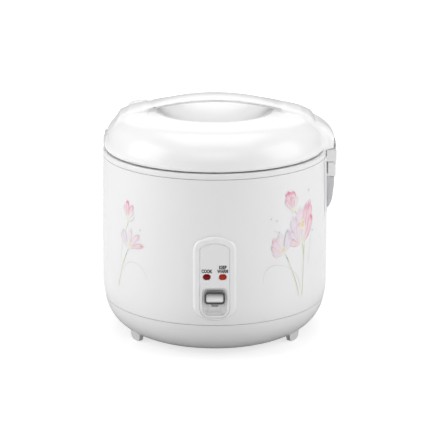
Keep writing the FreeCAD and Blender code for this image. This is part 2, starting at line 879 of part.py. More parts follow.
def inlet_pins():
    piece("inlet_pins", group("inlet_pin_set", pin_blocks("pin")))


# ---------------------------------------------------------------- lid

LID = BODY - cell("lid_inset")
LID_FOOT = SEAM
SHOULDER = cell("lid_shoulder")
SHOULDER_CENTRE = LID - SHOULDER
SHOULDER_LEVEL = SEAM + cell("lid_step")
RISE = cell("lid_rise")
CROWN_SPREAD = SHOULDER_CENTRE * SHOULDER_CENTRE + RISE * RISE - SHOULDER * SHOULDER
CROWN_ARC = CROWN_SPREAD / ((RISE - SHOULDER) * 2)
CROWN_LEVEL = SHOULDER_LEVEL + RISE - CROWN_ARC
VENT_ACROSS = cell("vent_inset") - BODY
# The steam way stands this share of the vent's distance from the axis.
STEAM_SHARE = 0.89
DISH_FLOOR = SEAM + cell("lid_step") + RISE - 4.6 - cell("dish_depth")


def crown_height(radius, offset=0):
    arc = CROWN_ARC + offset
    return CROWN_LEVEL + root(arc * arc - as_size(radius) * radius)


def shoulder_tangent(offset):
    share = (CROWN_ARC + offset) / (CROWN_ARC - SHOULDER)
    return (SHOULDER_CENTRE * share, CROWN_LEVEL + (SHOULDER_LEVEL - CROWN_LEVEL) * share)


def dome_envelope(name, offset):
    """The lid's filled dome with no dish, its skin moved out by offset."""
    return turned(name, [
        (0, SEAM - 4), (LID + offset, SEAM - 4), (LID + offset, SHOULDER_LEVEL, SHOULDER + offset),
        (*shoulder_tangent(offset), CROWN_ARC + offset), (0, CROWN_LEVEL + CROWN_ARC + offset)])


def hinge_clearance(name):
    """The room that the lid leaves round the hinge bracket."""
    axis = (-BODY + cell("hinge_inset"), SEAM + cell("hinge_rise"))
    half = cell("hinge_half") + 0.6
    barrel = rod(name + "_barrel", 8.4, (axis[0], -half, axis[1]), half * 2, "Y")
    below = block(name + "_below", (-BODY - 6, -half, SEAM - 8), (axis[0] + 10.8, half, axis[1]))
    return fused(name, barrel, below)


def hook_room(name):
    """The space over the hook, between the lid's wall and its latch cover."""
    half = cell("latch_half") - 0.5
    return block(name, (BODY - 1.3, -half, SEAM - 1), (BODY + cell("latch_reach") - 1.8, half, SEAM + 12))


def latch_cover():
    """The hollow cover on the lid's right side that hides the hook, with its outer corners cut back."""
    half = cell("latch_half") + 1.5
    reach = BODY + cell("latch_reach")
    foot = SEAM + 0.3
    skin = prism("cover_skin", "XZ_Plane", [
        (BODY - 6, foot + 4), (BODY - 1.5, foot + 4), (BODY - 1.5, foot), (reach, foot),
        (reach - 0.3, SEAM + 6, 14),
        (reach - 3.6, SEAM + 15.8), (BODY + 2.9, SEAM + 22.6, 24), (BODY - 14, SEAM + 31),
        (BODY - 14, SEAM + 20),
        (BODY - 6, foot + 8)],
        half, half * 2)
    plan = prism("cover_plan", "XY_Plane", [
        (BODY - 20, -half), (BODY + 5, -half), (reach + 1, 5 - half), (reach + 1, half - 5),
        (BODY + 5, half),
        (BODY - 20, half)], SEAM - 10, 60)
    whole = shared("cover_whole", skin, plan)
    piece("latch_cover", cut("cover", whole, dome_envelope("cover_seat", SEAT),
                             body_envelope("cover_room", 0.5), hook_room("cover_hollow")))


def outer_lid():
    wall = cell("lid_wall")
    undercut = LID - cell("lid_undercut")
    dish = cell("dish_radius")
    depth = cell("dish_depth")
    rim = dish + 2.0
    lip = dish - 1.8
    bowl = (lip * lip + depth * depth) / (depth * 2)
    lip_level = DISH_FLOOR + depth
    inner_lip = lip + 1.2
    inner_level = lip_level - wall - 0.6
    inner_bowl = ((inner_level - DISH_FLOOR + wall) * (inner_level - DISH_FLOOR + wall)
                  + inner_lip * inner_lip) / ((inner_level - DISH_FLOOR + wall) * 2)
    skin = turned("lid_skin", [
        (undercut, LID_FOOT), (LID, SHOULDER_LEVEL, SHOULDER), (*shoulder_tangent(0), CROWN_ARC),
        (rim, crown_height(rim), 3.4), (lip, lip_level, -bowl), (0, DISH_FLOOR),
        (0, DISH_FLOOR - wall, inner_bowl),
        (inner_lip, inner_level), (rim + 2.4, crown_height(rim + 2.4, -wall), -(CROWN_ARC - wall)),
        (*shoulder_tangent(-wall), -(SHOULDER - wall)), (LID - wall, SHOULDER_LEVEL),
        (undercut - wall, LID_FOOT)])
    vent = cell("vent_radius")
    place_x = VENT_ACROSS
    place_y = cell("vent_back")
    vent_hole = rod("vent_hole", vent + 0.5, (place_x, place_y, SEAM + 20), 40)
    cup = tube("vent_cup", vent + 2.2, vent + 0.5, (place_x, place_y, SEAM + 22), 20)
    cup_floor = rod("vent_cup_floor", vent + 2.2, (place_x, place_y, SEAM + 20.4), 1.6)
    cup_hole = rod("vent_cup_hole", 4.2, (place_x * STEAM_SHARE, place_y * STEAM_SHARE, SEAM + 19), 5)
    vent_cup = fused("vent_cup_whole", cup, cup_floor)
    cup_inside = shared("vent_cup_trim", vent_cup, dome_envelope("cup_top", -0.2))
    open_skin = cut("lid_open", skin, vent_hole)
    whole = fused("lid_whole", open_skin, cup_inside)
    piece("outer_lid", cut("outer_lid", whole, hook_room("lid_hook_room"), cup_hole,
                           hinge_clearance("lid_hinge_room")))


def handle_band():
    half = cell("band_width") / 2
    top = SEAM + cell("band_top")
    end = LID - cell("band_inset")
    knee = end - 20
    fall = cell("band_fall")
    knee_level = top - fall
    arc = (knee * knee / fall + fall) / 2
    end_level = SEAM + 29.5
    gap_end = cell("dish_radius") + 10.5
    gap_level = SEAM + 40.4
    gap_rise = top - cell("band_thickness") - gap_level
    gap_arc = (gap_end * gap_end / gap_rise + gap_rise) / 2
    blank = prism("band_blank", "XZ_Plane", [
        (-end, SEAM + 20), (-gap_end, SEAM + 20), (-gap_end, gap_level, -gap_arc), (gap_end, gap_level),
        (gap_end, SEAM + 20), (end, SEAM + 20), (end, end_level, 34), (knee, knee_level, arc),
        (-knee, knee_level, 34), (-end, end_level)], half, half * 2)
    soft = rounded("band_soft", blank, 2.8, lambda edge: isinstance(edge.Curve, Part.Circle)
                   and abs(edge.Curve.Radius - arc.value) < 0.01)
    piece("handle_band", cut("band", soft, dome_envelope("band_seat", SEAT)))


def handle_screws():
    screws = []
    spot = cell("dish_radius") + 19
    for number, side in enumerate((-1, 1)):
        low = crown_height(spot + 3.4, -cell("lid_wall")) - 1.4 - SEAT
        head = rod("handle_head_%d" % number, 3.4, (spot * side, 0, low), 1.4)
        screws.append(head)
    piece("handle_screws", group("handle_screw_set", screws))


def inner_lid_frame():
    edge = LID - cell("lid_wall") - GAP
    low = SEAM + 2
    seal = BODY - cell("pot_space")
    ring = turned("frame_ring", [
        (0, low), (seal - 1, low), (seal - 1, SEAM + 0.3), (seal + 10, SEAM + 0.3), (seal + 10, low),
        (edge - 2.2, low),
        (edge - 0.4, low + 1.6), (edge - 0.4, low + 4), (edge - 2, low + 4), (edge - 2, low + 2),
        (0, low + 2)])
    across = VENT_ACROSS * STEAM_SHARE
    back = cell("vent_back") * STEAM_SHARE
    steam = rod("frame_steam_hole", 5.2, (across, back, SEAM - 4), 12)
    knob = rod("frame_knob_hole", 4.3, (0, 0, SEAM - 4), 12)
    lug_room = block("frame_lug_room", (BODY - 7, -20, SEAM - 4), (BODY + 4, 20, SEAM + 12))
    hinge_room = hinge_clearance("frame_hinge_room")
    piece("inner_lid_frame", cut("lid_frame", ring, steam, knob, lug_room, hinge_room))


def lid_gasket():
    seal = BODY - cell("pot_space")
    low = SEAM - cell("pot_drop") + cell("pot_wall") + GAP
    piece("lid_gasket", turned("gasket", [
        (seal - 1.4, low + 1.8), (seal + 0.6, low + 1.8), (seal + 2, low), (seal + 6, low),
        (seal + 7.5, low + 1.5),
        (seal + 7.5, SEAM + 0.3), (seal - 1.4, SEAM + 0.3)]))


def inner_lid_plate():
    seal = BODY - cell("pot_space")
    low = SEAM - 1.6
    plate = turned("lid_plate", [
        (0, low - 3), (seal - 22, low - 3), (seal - 16, low), (seal - 1.6, low), (seal - 1.6, low + 1.2),
        (seal - 16.5, low + 1.2), (seal - 22.5, low - 1.8), (0, low - 1.8)])
    across = VENT_ACROSS * STEAM_SHARE
    back = cell("vent_back") * STEAM_SHARE
    steam = rod("plate_steam_hole", 4.2, (across, back, SEAM - 6), 12)
    knob = rod("plate_knob_hole", 4.3, (0, 0, SEAM - 6), 12)
    piece("inner_lid_plate", cut("inner_plate", plate, steam, knob))


def inner_lid_knob():
    low = SEAM - 4.6
    piece("inner_lid_knob", turned("lid_knob", [
        (0, low - 6), (6, low - 6), (7.5, low - 4.5), (7.5, low), (4, low), (4, SEAM + 4),
        (6.5, SEAM + 4),
        (5, SEAM + 6.5), (0, SEAM + 6.5)]))


def lid_heater():
    low = SEAM + 4
    piece("lid_heater", turned("lid_foil", [(38, low), (66, low), (66, low + 0.8), (38, low + 0.8)]))


def steam_tube():
    across = VENT_ACROSS * STEAM_SHARE
    back = cell("vent_back") * STEAM_SHARE
    low = SEAM - 1.6 + 1.2
    piece("steam_tube", tube("steam_pipe", 5.0, 4.0, (across, back, low), SEAM + 20.4 - low))


def steam_vent_cap():
    radius = cell("vent_radius")
    low = SEAM + 22.4
    top = SEAM + cell("vent_rise")
    corner = 5.5
    crown = 27
    edge = top - crown + root(crown * crown - (radius - corner) * (radius - corner))
    cap = turned("vent_cap", [
        (0, top - 2), (radius - 2.4, top - 3.4), (radius - 2.4, low), (radius, low),
        (radius, edge - corner, corner), (radius - corner, edge, crown), (0, top)])
    slot = block("vent_slot", (4.5, -1.8, top - 6), (9.5, 1.8, top + 1))
    body = cut("vent_cap_slotted", cap, slot)
    place(body, (VENT_ACROSS, cell("vent_back"), 0))
    piece("steam_vent_cap", body)


# ---------------------------------------------------------------- hinge

def hinge_bracket():
    axis = (-BODY + cell("hinge_inset"), SEAM + cell("hinge_rise"))
    half = cell("hinge_half")
    shelf = SEAM - cell("pot_drop") - GAP
    inner = axis[0] + 6.0
    foot = block("hinge_foot", (-BODY - 3, -half, shelf), (inner, half, SEAM + 1.6))
    ears = []
    width = cell("ear_width")
    for number, low in enumerate((-half, half - width)):
        ears.append(block("ear_%d" % number, (-BODY - 3, low, SEAM), (inner - 0.6, low + width, axis[1])))
        ears.append(rod("ear_top_%d" % number, 5.4, (axis[0], low, axis[1]), width, "Y"))
    whole = fused("hinge_solid", foot, *ears)
    trimmed = shared("hinge_trim", whole, turned("hinge_limit", [
        (0, 0), (BODY - 0.1, 0), (BODY - 0.1, SEAM + 40), (0, SEAM + 40)]))
    ring = turned("hinge_ring_room", [
        (BODY - 7.5 - SEAT, shelf - 1), (BODY - 7.5 - SEAT, shelf),
        (BODY - 6.0 - SEAT, SEAM - cell("lid_gap") + SEAT),
        (BODY + 6, SEAM - cell("lid_gap") + SEAT), (BODY + 6, shelf - 1)])
    bore = rod("hinge_bore", cell("hinge_pin") + 0.02, (axis[0], -half - 2, axis[1]), half * 2 + 4, "Y")
    piece("hinge_bracket", cut("hinge_bracket", trimmed, ring, bore))


def hinge_pin():
    axis = (-BODY + cell("hinge_inset"), SEAM + cell("hinge_rise"))
    half = cell("hinge_half") - 0.5
    piece("hinge_pin", rod("hinge_rod", cell("hinge_pin"), (axis[0], -half, axis[1]), half * 2, "Y"))


def lid_hinge_knuckle():
    axis = (-BODY + cell("hinge_inset"), SEAM + cell("hinge_rise"))
    half = cell("hinge_half") - cell("ear_width") - cell("hinge_coil")
    barrel = rod("knuckle_barrel", 5.0, (axis[0], -half, axis[1]), half * 2, "Y")
    web = block("knuckle_web", (axis[0], -half, axis[1] - 4.4), (axis[0] + 22, half, axis[1] + 0.6))
    foot = block("knuckle_foot", (axis[0] + 11, -half, SEAM + 4), (axis[0] + 22, half, axis[1] - 4))
    bore = rod("knuckle_bore", cell("hinge_pin") + 0.05, (axis[0], -half - 1, axis[1]), half * 2 + 2, "Y")
    piece("lid_hinge_knuckle", cut("knuckle", fused("knuckle_solid", barrel, web, foot), bore))


def hinge_springs():
    x = (-BODY + cell("hinge_inset")).value
    z = (SEAM + cell("hinge_rise")).value
    half = cell("hinge_half").value - cell("ear_width").value
    wire = 0.5
    ease = 0.1
    height = cell("hinge_coil").value - 2 * (wire + ease)
    coils = [shaped("hinge_coil_%d" % number, coil_shape(3.6, wire, height, 3, (x, y, z), "Y"))
             for number, y in enumerate((-half + wire + ease, half - wire - ease - height))]
    piece("hinge_springs", group("hinge_coil_set", coils))


# ---------------------------------------------------------------- latch

def latch_housing():
    half = cell("latch_half") + 2.8
    back = BODY - 11
    low = SEAM - 69
    high = SEAM - cell("lid_gap") - 0.2
    wall = 1.6
    cup = block("latch_cup", (back, -half, low), (WIDEST, half, SEAM - 14))
    cup_window = block("latch_cup_window", (back - 1, 4 - half, SEAM - 28),
                       (back + wall + 1, half - 4, SEAM - 16))
    cup_hollow = block("latch_cup_hollow", (back + wall, -half + wall, low + wall),
                       (WIDEST + 30, half - wall, SEAM - 14.5))
    frame = prism("latch_frame", "YZ_Plane", [
        (-half - 12.7, low - 2), (half + 12.7, low - 2), (half + 12.7, SEAM - 7.6),
        (-half - 12.7, SEAM - 7.6)],
        BODY - 40, 60)
    skin = cut("latch_skin", shared("latch_skin_out", frame, body_envelope("latch_front", 0.7)),
               body_envelope("latch_seat", SEAT), block("latch_skin_hole", (0, -half + wall, low + wall),
                                                     (WIDEST + 30, half - wall, SEAM - 14.5)))
    reach = BODY + cell("latch_reach")
    ledge_half = cell("latch_half") + 1.0
    ledge = prism("latch_ledge", "XZ_Plane", [
        (BODY - 4, SEAM - 14), (reach - 1.2, SEAM - 14), (reach - 0.2, SEAM - 13),
        (reach - 0.2, high - 1, 1),
        (reach - 1.2, high), (BODY - 0.2, high), (BODY - 0.2, SEAM - 7.6), (BODY - 4, SEAM - 7.6)],
        ledge_half, ledge_half * 2)
    ledge_slot = block("latch_ledge_slot", (BODY + 0.4, -8, SEAM - 20), (BODY + 9, 8, SEAM + 4))
    inside = body_envelope("latch_ledge_seat", SEAT)
    outer_ledge = cut("latch_ledge_trim", ledge, inside)
    cup_in = shared("latch_cup_trim", cup, body_envelope("latch_cup_wall", 0))
    whole = cut("latch_solid", fused("latch_whole", cup_in, skin, outer_ledge), cup_hollow, cup_window,
                ledge_slot)
    axis = latch_axis()
    bore = rod("latch_bore", cell("latch_pin") + 0.02, (axis[0], -half - 4, axis[1]), half * 2 + 8, "Y")
    piece("latch_housing", cut("latch_housing", whole, bore))


def latch_axis():
    return (BODY - 2.0, SEAM - 30.0)


def latch_lever():
    """The grey paddle: pressed in at its foot, it rocks the hook outwards."""
    half = cell("latch_half")
    reach = BODY + cell("latch_reach")
    axis = latch_axis()
    paddle = prism("paddle", "XZ_Plane", [
        (axis[0] - 3.6, axis[1] - 3), (axis[0] + 1, axis[1] - 12), (BODY + 1.5, SEAM - 56),
        (BODY + 0.4, SEAM - 64),
        (BODY + 2.0, SEAM - 66, 6), (reach - 7.1, SEAM - 63.5), (reach - 5.1, SEAM - 59, 40),
        (reach - 3.5, SEAM - 49, 90),
        (reach - 2.3, SEAM - 31.6), (axis[0] - 3.6, SEAM - 31.6)], half, half * 2)
    barrel = rod("paddle_barrel", 3.6, (axis[0], -half, axis[1]), half * 2, "Y")
    room = block("paddle_room", (axis[0] - 10, -half - 1, SEAM - 31.5), (axis[0] + 20, half + 1, SEAM))
    bore = rod("paddle_bore", cell("latch_pin") + 0.05, (axis[0], -half - 1, axis[1]), half * 2 + 2, "Y")
    piece("latch_lever", cut("latch_paddle", fused("paddle_solid", paddle, barrel), room, bore))


def latch_hook():
    """The pale upper half of the rocker, with the hook that reaches up into the lid's lug."""
    half = cell("latch_half")
    reach = BODY + cell("latch_reach")
    axis = latch_axis()
    face = prism("hook_face", "XZ_Plane", [
        (axis[0] - 3.6, SEAM - 31.5), (reach - 2.2, SEAM - 31.5), (reach - 1.8, SEAM - 14.8),
        (BODY + 1, SEAM - 14.8),
        (BODY + 1, SEAM - 27), (axis[0] - 3.6, SEAM - 28)], half, half * 2)
    stem = prism("hook_stem", "XZ_Plane", [
        (BODY + 2.8, SEAM - 18), (BODY + 5.0, SEAM - 18), (BODY + 5.0, SEAM + 5.6),
        (BODY + 1.6, SEAM + 5.6),
        (BODY + 2.8, SEAM + 3.4)], 6, 12)
    bore = rod("hook_bore", cell("latch_pin") + 0.05, (axis[0], -half - 1, axis[1]), half * 2 + 2, "Y")
    piece("latch_hook", cut("hook", fused("hook_solid", face, stem), bore))


def latch_pin():
    axis = latch_axis()
    half = cell("latch_half") + 2.6
    piece("latch_pin", rod("latch_rod", cell("latch_pin"), (axis[0], -half, axis[1]), half * 2, "Y"))


def latch_spring():
    axis = latch_axis()
    back = (BODY - 11 + 1.6).value
    front = (axis[0]).value - 0.2
    shape = coil_shape(3.0, 0.4, front - back - 1.2, 4, (back + 0.6, 0, (SEAM - 46).value), "X")
    piece("latch_spring", shaped("latch_coil", shape))


def lid_catch():
    """The bar in the lug that the hook holds down."""
    half = cell("latch_half") + 1.5 - 2
    low = SEAM + 0.6
    piece("lid_catch", block("catch_bar", (BODY - 1.3, -half, low), (BODY + 1.2, half, low + 2.4)))


# ---------------------------------------------------------------- wiring

def wiring():
    """Insulated leads: inlet to heater terminals, and inlet round to the fuse and the switch."""
    low = cell("case_floor").value - 12
    inlet = (BODY - 18.5).value
    level = cell("inlet_level").value
    wires = []
    for number, spot in enumerate(terminal_places()):
        side = -1 if spot[0].value < 0 else 1
        x = spot[0].value
        y = spot[1].value
        wires.append(shaped("heater_lead_%d" % number, wire_shape([
            (7 * side, inlet - 0.2, level - 2), (7 * side, inlet - 12, level - 2), (x, y + 6, low - 8),
            (x, y, low - 4), (x, y, low + 0.0)], 1.2, 3)))
    piece("wiring", group("lead_set", wires))


def build():
    outer_shell()
    base_cover()
    case_posts()
    base_screws()
    feet()
    top_ring()
    inner_case()
    inner_pot()
    heating_plate()
    plate_supports()
    heater_element()
    heater_terminals()
    sensor_housing()
    sensor_cap()
    sensor_spring()
    magnet_plunger()
    side_heater_band()
    keep_warm_thermostat()
    thermal_fuse()
    lever_arm()
    lever_knob()
    lever_bracket()
    lever_pin()
    microswitch()
    panel_bezel()
    panel_face()
    lamp_lens("lamp_cook", -1)
    lamp_lens("lamp_warm", 1)
    lever_well()
    lamp_board()
    neon_lamps()
    power_inlet()
    inlet_pins()
    outer_lid()
    latch_cover()
    handle_band()
    handle_screws()
    inner_lid_frame()
    lid_gasket()
    inner_lid_plate()
    inner_lid_knob()
    lid_heater()
    steam_tube()
    steam_vent_cap()
    hinge_bracket()
    hinge_pin()
    lid_hinge_knuckle()
    hinge_springs()
    latch_housing()
    latch_lever()
    latch_hook()
    latch_pin()
    latch_spring()
    lid_catch()
    wiring()


def check_and_write():
    DOC.recompute()
    faults = []
    for item in DOC.Objects:
        if "Invalid" in item.State or "Error" in item.State:
            faults.append("%s: %s" % (item.Name, item.State))
    for node, thing in PIECES:
        if thing.Shape.isNull() or not thing.Shape.isValid() or not thing.Shape.Solids:
            faults.append("%s: no valid solid" % node)
    if faults:
        raise RuntimeError("; ".join(faults))
    os.makedirs("parts", exist_ok=True)
    for node, thing in PIECES:
        thing.Shape.exportStep("parts/%s.step" % node)
    print(len(PIECES), "sub-parts written")


build()
check_and_write()
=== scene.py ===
"""The looks of the rice cooker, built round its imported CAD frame.

Lengths are in metres, but the fields that shape the pieces and the prints are in millimetres.
"""

import json
import math
from functools import cache

import bpy
import numpy as np
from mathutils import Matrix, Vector

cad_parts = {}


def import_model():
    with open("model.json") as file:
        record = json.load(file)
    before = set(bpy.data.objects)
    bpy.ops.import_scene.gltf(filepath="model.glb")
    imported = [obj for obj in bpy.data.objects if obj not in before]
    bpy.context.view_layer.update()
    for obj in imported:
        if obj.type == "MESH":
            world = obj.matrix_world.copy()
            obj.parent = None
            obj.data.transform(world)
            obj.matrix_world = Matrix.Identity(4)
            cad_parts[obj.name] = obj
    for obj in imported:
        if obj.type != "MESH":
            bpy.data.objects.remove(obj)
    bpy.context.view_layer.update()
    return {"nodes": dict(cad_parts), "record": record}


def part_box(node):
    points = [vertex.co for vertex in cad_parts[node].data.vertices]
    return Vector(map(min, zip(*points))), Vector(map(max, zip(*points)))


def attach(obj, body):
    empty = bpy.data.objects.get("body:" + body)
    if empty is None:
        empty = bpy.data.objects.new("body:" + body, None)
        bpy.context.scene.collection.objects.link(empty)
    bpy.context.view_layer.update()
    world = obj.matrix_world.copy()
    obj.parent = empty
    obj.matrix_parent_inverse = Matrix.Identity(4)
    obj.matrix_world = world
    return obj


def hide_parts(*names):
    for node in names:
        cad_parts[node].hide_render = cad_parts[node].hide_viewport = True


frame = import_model()
NODES = frame["nodes"]

MM = 0.001
SHELL_LOW, SHELL_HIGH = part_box("outer_shell")
AXIS_X = (SHELL_LOW.x + SHELL_HIGH.x) / 2
WIDEST = (SHELL_HIGH.x - SHELL_LOW.x) / 2
RING_TO_SEAM = 0.8
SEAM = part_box("top_ring")[1].z + RING_TO_SEAM * MM


# ---------------------------------------------------------------- materials

class Nodes:
    """A short way to write a material's node tree."""

    def __init__(self, name):
        self.material = bpy.data.materials.new(name)
        self.material.use_nodes = True
        self.tree = self.material.node_tree
        self.shader = self.tree.nodes["Principled BSDF"]

    def add(self, kind, **settings):
        node = self.tree.nodes.new("ShaderNode" + kind)
        for key, value in settings.items():
            if key in node.inputs:
                node.inputs[key].default_value = value
            else:
                setattr(node, key, value)
        return node

    def link(self, source, target, output=0):
        self.tree.links.new(source.outputs[output], target)

    def place(self, scale=(1, 1, 1)):
        """Object coordinates, stretched by scale."""
        coordinates = self.add("TexCoord")
        mapping = self.add("Mapping", Scale=scale)
        self.link(coordinates, mapping.inputs["Vector"], "Object")
        return mapping

    def noise(self, scale, detail=2.0, stretch=(1, 1, 1)):
        texture = self.add("TexNoise", Scale=scale, Detail=detail)
        self.link(self.place(stretch), texture.inputs["Vector"])
        return texture

    def spread(self, source, low, high):
        """Map a 0 to 1 value to low to high."""
        ranged = self.add("MapRange", **{"To Min": low, "To Max": high})
        self.link(source, ranged.inputs["Value"])
        return ranged

    def tint(self, source, first, second):
        """Run a 0 to 1 value from the first colour to the second."""
        ramp = self.add("ValToRGB")
        ramp.color_ramp.elements[0].color = (*first, 1)
        ramp.color_ramp.elements[1].color = (*second, 1)
        self.link(source, ramp.inputs["Fac"])
        return ramp

    def bump(self, source, depth):
        relief = self.add("Bump", Strength=1.0, Distance=depth)
        self.link(source, relief.inputs["Height"])
        self.link(relief, self.shader.inputs["Normal"])


METAL_ROUGH = 0.35
# noise scales of the plastics: colour clouds, uneven gloss and orange peel
CLOUDS, GLOSS, PEEL = 14.0, 55.0, 420.0


def shade(colour, factor):
    return tuple(min(1.0, c * factor) for c in colour)


def plastic(name, colour, rough, grain=0.00002):
    """Moulded plastic: faint clouds in the colour, uneven gloss and a fine orange-peel skin."""
    make = Nodes(name)
    clouds = make.noise(CLOUDS, 3.0)
    tints = make.tint(clouds, shade(colour, 0.985), shade(colour, 1.012))
    make.link(tints, make.shader.inputs["Base Color"])
    gloss = make.noise(GLOSS, 4.0)
    make.link(make.spread(gloss, rough * 0.85, rough * 1.2), make.shader.inputs["Roughness"])
    make.bump(make.noise(PEEL, 2.0), grain)
    return make.material


def metal(name, colour):
    """Metal with drawn or turned streaks."""
    make = Nodes(name)
    streaks = make.noise(60.0, 5.0, (1, 1, 30))
    tints = make.tint(streaks, shade(colour, 0.86), shade(colour, 1.1))
    make.link(tints, make.shader.inputs["Base Color"])
    make.link(make.spread(streaks, METAL_ROUGH * 0.75, METAL_ROUGH * 1.3), make.shader.inputs["Roughness"])
    make.shader.inputs["Metallic"].default_value = 1.0
    make.bump(streaks, 0.00002)
    return make.material


def silver(name, colour, low, high):
    """Silver paint on plastic with a fine fleck, with painted shade darkening it towards its edges at
    heights low and high.
    """
    make = Nodes(name)
    fleck = make.noise(1500.0, 2.0)
    height = make.add("SeparateXYZ")
    make.link(make.place(), height.inputs["Vector"])
    level = make.add("MapRange", **{"From Min": low, "From Max": high})
    make.link(height, level.inputs["Value"], "Z")
    # painted shade: the colour falls to 0.6 of itself at height low and to 0.38 at height high, and stays
    # full between
    edges = make.tint(level, shade(colour, 0.6), shade(colour, 0.38))
    for place in (0.22, 0.5):
        edges.color_ramp.elements.new(place).color = (*colour, 1)
    both = make.add("Mix", data_type="RGBA", blend_type="MULTIPLY")
    both.inputs[0].default_value = 1.0
    make.link(make.tint(fleck, (0.94, 0.94, 0.94), (1, 1, 1)), both.inputs[6])
    make.link(edges, both.inputs[7])
    make.link(both, make.shader.inputs["Base Color"], 2)
    make.link(make.spread(fleck, 0.26, 0.36), make.shader.inputs["Roughness"])
    make.shader.inputs["Metallic"].default_value = 0.25
    make.bump(fleck, 0.000004)
    return make.material


def lens(name, colour):
    """A lamp lens of clear coloured plastic, ribbed inside."""
    make = Nodes(name)
    ribs = make.noise(900.0, 2.0, (1, 1, 0.2))
    make.link(make.tint(ribs, shade(colour, 0.6), shade(colour, 1.5)), make.shader.inputs["Base Color"])
    make.shader.inputs["Roughness"].default_value = 0.14
    make.shader.inputs["Specular IOR Level"].default_value = 0.16
    make.bump(ribs, 0.00003)
    return make.material


WHITE = (0.86, 0.86, 0.868)
LID_WHITE = (0.93, 0.93, 0.935)
PALE_GREY = (0.84, 0.84, 0.85)
DULL = 0.4
FINE, COARSE = 0.00001, 0.00003
SKIN = 0.000012
# colour, roughness and depth of the grain
PLASTICS = {
    "shell_white": (WHITE, 0.2, SKIN),
    "base_white": (WHITE, 0.22, SKIN),
    "lid_white": (LID_WHITE, 0.2, SKIN),
    "ring_white": (WHITE, 0.22, SKIN),
    "bezel_white": (WHITE, 0.2, FINE),
    "band_white": (LID_WHITE, 0.2, SKIN),
    "cap_white": (WHITE, 0.25, FINE),
    "housing_white": (WHITE, 0.25, FINE),
    "hook_pale": (WHITE, 0.28, FINE),
    "lever_grey": ((0.60, 0.60, 0.62), DULL, COARSE),
    "panel_grey": (PALE_GREY, 0.3, FINE),
    "foot_plastic": (PALE_GREY, DULL, COARSE),
    "well_grey": (shade(WHITE, 0.98), 0.3, 0.00002),
    "knob_black": ((0.05, 0.05, 0.055), 0.35, 0.00002),
}
LENSES = {"lens_red": (0.2, 0.001, 0.005), "lens_orange": (0.37, 0.024, 0.007)}
KNOB_SILVER = (0.95, 0.95, 0.95)
# heights at which the knob plate's painted shade ends, at its bottom and its top
KNOB_SHADE_LOW, KNOB_SHADE_HIGH = 0.069, 0.0785
METALS = ("brushed_steel", "aluminium", "chrome", "cast_iron")


def finish_for(entry):
    """The material of a slot in the record."""
    name = entry["slot"]
    if name in PLASTICS:
        return plastic(name, *PLASTICS[name])
    if name in LENSES:
        return lens(name, LENSES[name])
    if name == "knob_silver":
        return silver(name, KNOB_SILVER, KNOB_SHADE_LOW, KNOB_SHADE_HIGH)
    colour = tuple(entry["base_color"][:3])
    if entry["class"] in METALS:
        return metal(name, colour)
    return plastic(name, colour, DULL)


def dress():
    """Give every CAD piece the material of its slot, and return the materials by slot."""
    made = {}
    entries = {entry["slot"]: entry for entry in frame["record"]["materials"]}
    for item in frame["record"]["subparts"]:
        slot = item["material_slot"]
        if slot not in made:
            made[slot] = finish_for(entries[slot])
        materials = NODES[item["node"]].data.materials
        materials.clear()
        materials.append(made[slot])
    return made


MADE = dress()
SLOTS = {item["node"]: item["material_slot"] for item in frame["record"]["subparts"]}


# ---------------------------------------------------------------- soft-edged solids from distance fields

def smax(a, b, k):
    """The larger of two fields, with their crease rounded over k millimetres."""
    mixed = np.maximum(k - np.abs(a - b), 0.0) / k
    return np.maximum(a, b) + mixed * mixed * k * 0.25


def smin(a, b, k):
    """The smaller of two fields, rounded in the same way."""
    return -smax(-a, -b, k)


def ease(t):
    """A 0 to 1 value with a soft start and end."""
    return t * t * (3 - 2 * t)


def slope(field, spots, reach=0.02):
    """A field's gradient at the spots."""
    parts = []
    for axis in range(3):
        step = np.zeros(3)
        step[axis] = reach
        ahead = spots + step
        behind = spots - step
        parts.append((field(*ahead.T) - field(*behind.T)) / (2 * reach))
    return np.stack(parts, axis=1)


def cell_corners(values, shift):
    """The block of values seen from every cell's corner at shift."""
    across, back, up = (size - 1 for size in values.shape)
    return values[shift[0]:shift[0] + across, shift[1]:shift[1] + back, shift[2]:shift[2] + up]


CORNERS = [(i, j, k) for i in (0, 1) for j in (0, 1) for k in (0, 1)]


